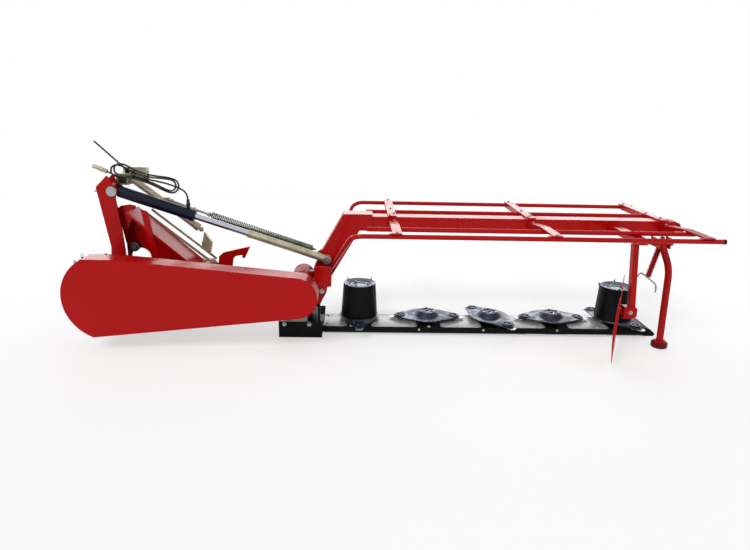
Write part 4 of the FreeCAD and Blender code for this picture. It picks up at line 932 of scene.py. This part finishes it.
class MOWER_OT_hardware(bpy.types.Operator):
    """Bolts, pins, caps and small brackets of the frames, the mast and the guard"""

    bl_idname = "mower.hardware"
    bl_label = "Hardware"

    def execute(self, context):
        size = context.scene.mower_sizes.bolt
        self.guard_frame(size)
        self.arm(size)
        self.hitch(size)
        self.strut(size)
        self.headstock_plates()
        self.input_splines()
        self.jack_pin()
        self.belt_guard(size)
        self.outer_end(size)
        return {"FINISHED"}

    def guard_frame(self, size):
        bm = bmesh.new()
        for x in CROSSBAR_X:
            for shift, y in ((-CROSSBAR_SHIFT, 0.110), (CROSSBAR_SHIFT, 0.155), (0.0, 0.330),
                             (0.0, FRONT_RAIL_Y), (0.0, REAR_RAIL_Y)):
                bolt(bm, (x + shift, y, CROSSBAR_TOP), UP, size * 0.8)
            for z in (0.690, 0.664):
                bolt(bm, (x + CROSSBAR_SHIFT, 0.072, z), REAR, size * 0.8)
        piece("crossbar_bolts", bm, "galvanised", "cutting_unit")
        bm = bmesh.new()
        for x, y in ((2.413, REAR_RAIL_Y), (2.385, FRONT_RAIL_Y)):
            rod(bm, (x - 0.010, y, RAIL_Z), (x + 0.003, y, RAIL_Z), 0.0146, 0.0142, 28)
        revolved(bm, [(0.0102, -0.010), (0.018, -0.010), (0.018, 0.010), (0.0102, 0.010), (0.0102, -0.010)],
                 (2.430, 0.130, 0.6685), AHEAD, 32)
        piece("rail_caps", bm, "black_paint", "cutting_unit")

    def arm(self, size):
        """Bolts and a pin on the gooseneck, and the cap of the cylinder rod's pin."""
        bm = bmesh.new()
        bolt(bm, (0.129, -0.104, 0.271), REAR, size * 1.2)
        bolt(bm, (0.138, 0.066, 0.300), REAR, size)
        rod(bm, (0.050, -0.098, 0.402), (0.086, -0.098, 0.402), LINCH_PIN, sides=16)
        rod(bm, (0.062, -0.098, 0.402), (0.072, -0.098, 0.402), 0.0085, sides=6)
        piece("arm_bolts", bm, "galvanised", "cutting_unit")
        bm = bmesh.new()
        cap = (0.156, -0.003, 0.442)
        revolved(bm, [(0.0, 0.0), (0.0155, 0.0), (0.0155, 0.004), (0.0225, 0.0045), (0.0225, 0.0075),
                      (0.0, 0.0075)], cap, AHEAD, 36)
        bolt(bm, cap, REAR, 0.020, 0.008, washer=False)
        piece("rod_pin_cap", bm, "steel", "lift_rod")

    def hitch(self, size):
        """Linch pins of the lower hitch pins, the mast's pin and two bolts."""
        bm = bmesh.new()
        for x in (-1.515, -0.585):
            rod(bm, (x, 0.300, 0.296), (x, 0.300, 0.362), LINCH_PIN, sides=16)
            ring(bm, (x, 0.300, 0.366), OUT, 0.0165, CLIP_WIRE)
        rod(bm, (-1.246, -0.004, 0.859), (-1.206, -0.004, 0.859), LINCH_PIN, sides=16)
        bolt(bm, (-1.120, -0.022, 0.905), REAR, size * 0.7)
        bolt(bm, (-1.063, 0.056, 0.500), REAR, 0.034, 0.014)
        piece("hitch_pins_and_clips", bm, "dull_steel", "headstock")

    def strut(self, size):
        """Nuts and bolts at the break-away strut's lower end and at its top."""
        bm = bmesh.new()
        start, way = Vector((-0.668, 0.130, 0.611)), Vector((0.791, 0.0, -0.612))
        rod(bm, start, start + way * 0.030, 0.010, sides=20)
        rod(bm, start + way * 0.008, start + way * 0.020, 0.018, sides=6)
        rod(bm, (-0.585, 0.101, 0.397), (-0.585, 0.105, 0.397), 0.017)
        bolt(bm, (-0.585, 0.101, 0.397), REAR, size)
        for x, z in ((-0.646, 0.520), (-0.612, 0.470)):
            bolt(bm, (x, 0.113, z), REAR, size * 0.8)
        bolt(bm, (-1.060, 0.118, 0.905), REAR, size)
        piece("strut_nuts", bm, "zinc", "headstock")

    def headstock_plates(self):
        """A lug on the frame beam and a small plate beside the mast's brace."""
        bm = bmesh.new()
        block(bm, (-0.363, -0.166, 0.3315), (-0.303, -0.154, 0.404), 0.002)
        revolved(bm, [(0.0, 0.0), (0.030, 0.0), (0.030, 0.012), (0.0, 0.012)], (-0.333, -0.166, 0.402),
                 AHEAD, 40)
        piece("beam_lug", bm, "red_paint", "headstock")
        bm = bmesh.new()
        upright_plate(bm, [(-1.118, 0.640), (-1.136, 0.748), (-1.110, 0.766), (-1.054, 0.775),
                           (-1.018, 0.766), (-1.047, 0.692), (-1.092, 0.595), (-1.100, 0.530)],
                      0.026, 0.006)
        piece("brace_wing", bm, "red_paint", "headstock")

    def input_splines(self):
        bm = bmesh.new()
        corner = Vector((0.0024, 0, 0.0024))
        for cosine, sine in round_circle(6):
            offset = Vector((cosine, 0, sine)) * 0.0150
            block(bm, SPLINE_FOOT + offset - corner, SPLINE_END + offset + corner, 0.0006)
        piece("input_splines", bm, "steel", "input_shaft")

    def jack_pin(self):
        """Locking pin of the parking jack with its ring, and two nuts on the sleeve."""
        bm = bmesh.new()
        rod(bm, (-0.900, 0.2703, 0.330), (-0.900, 0.296, 0.330), 0.0075, sides=20)
        ring(bm, (-0.900, 0.302, 0.318), AHEAD, 0.016, CLIP_WIRE)
        for x in (-0.9335, -0.8665):
            rod(bm, (x - 0.006, 0.2365, 0.292), (x + 0.006, 0.2365, 0.292), 0.0085, sides=6)
        piece("jack_lock_pin", bm, "zinc", "headstock")

    def belt_guard(self, size):
        """Bolts round the guard's back plate and in a circle about the drive's hub."""
        bm = bmesh.new()
        for x, z in ((-1.300, 0.330), (-1.260, 0.500), (-1.080, 0.545), (-0.760, 0.515), (-0.440, 0.480),
                     (-1.100, 0.125), (-0.780, 0.160), (-0.440, 0.195)):
            bolt(bm, (x, -0.3269, z), AHEAD, size * 0.8)
        for cosine, sine in round_circle(6):
            bolt(bm, (DRIVE_HUB_X + DRIVE_HUB_CIRCLE * cosine, -0.180, DRIVE_HUB_Z + DRIVE_HUB_CIRCLE * sine),
                 AHEAD, size * 0.8, 0.008)
        piece("guard_bolts", bm, "galvanised", "headstock")

    def outer_end(self, size):
        """Bolts of the board's post and the outrigger, and the rib on the swath board."""
        bm = bmesh.new()
        bolt(bm, (2.188, -0.290, 0.655), OUT, size * 1.2)
        bolt(bm, (1.990, -0.3245, 0.232), REAR, size)
        bolt(bm, (1.990, -0.2755, 0.232), AHEAD, size)
        bolt(bm, (1.965, -0.335, 0.668), REAR, size * 0.6)
        piece("outer_end_bolts", bm, "galvanised", "cutting_unit")
        bm = bmesh.new()
        upright_plate(bm, [(-0.0006, 0.075), (-0.008, 0.150), (-0.013, 0.235), (-0.010, 0.330),
                           (-0.004, 0.420), (-0.0006, 0.430)], -0.415, 0.050)
        piece("board_rib", bm, "red_paint", "cutting_unit",
              Matrix.Translation(BOARD_PLACE) @ Matrix.Rotation(math.radians(BOARD_TURN), 4, "Z"))


class MOWER_PT_panel(bpy.types.Panel):
    """The mower's operators and properties"""

    bl_idname = "MOWER_PT_panel"
    bl_label = "Mower"
    bl_space_type = "VIEW_3D"
    bl_region_type = "UI"
    bl_category = "Mower"

    def draw(self, context):
        for step in STEPS:
            self.layout.operator(step.bl_idname)
        for group in (context.scene.mower_colours, context.scene.mower_sizes):
            for name in group.__annotations__:
                self.layout.prop(group, name)


STEPS = (MOWER_OT_stage, MOWER_OT_finishes, MOWER_OT_hose, MOWER_OT_springs, MOWER_OT_bar, MOWER_OT_discs,
         MOWER_OT_hardware)
CLASSES = (MowerColours, MowerSizes, *STEPS, MOWER_PT_panel)


def register():
    for kind in CLASSES:
        bpy.utils.register_class(kind)
    bpy.types.Scene.mower_colours = bpy.props.PointerProperty(type=MowerColours)
    bpy.types.Scene.mower_sizes = bpy.props.PointerProperty(type=MowerSizes)


def unregister():
    del bpy.types.Scene.mower_sizes
    del bpy.types.Scene.mower_colours
    for kind in reversed(CLASSES):
        bpy.utils.unregister_class(kind)


def main():
    register()
    for step in STEPS:
        group, name = step.bl_idname.split(".")
        getattr(getattr(bpy.ops, group), name)()


if __name__ == "__main__":
    main()
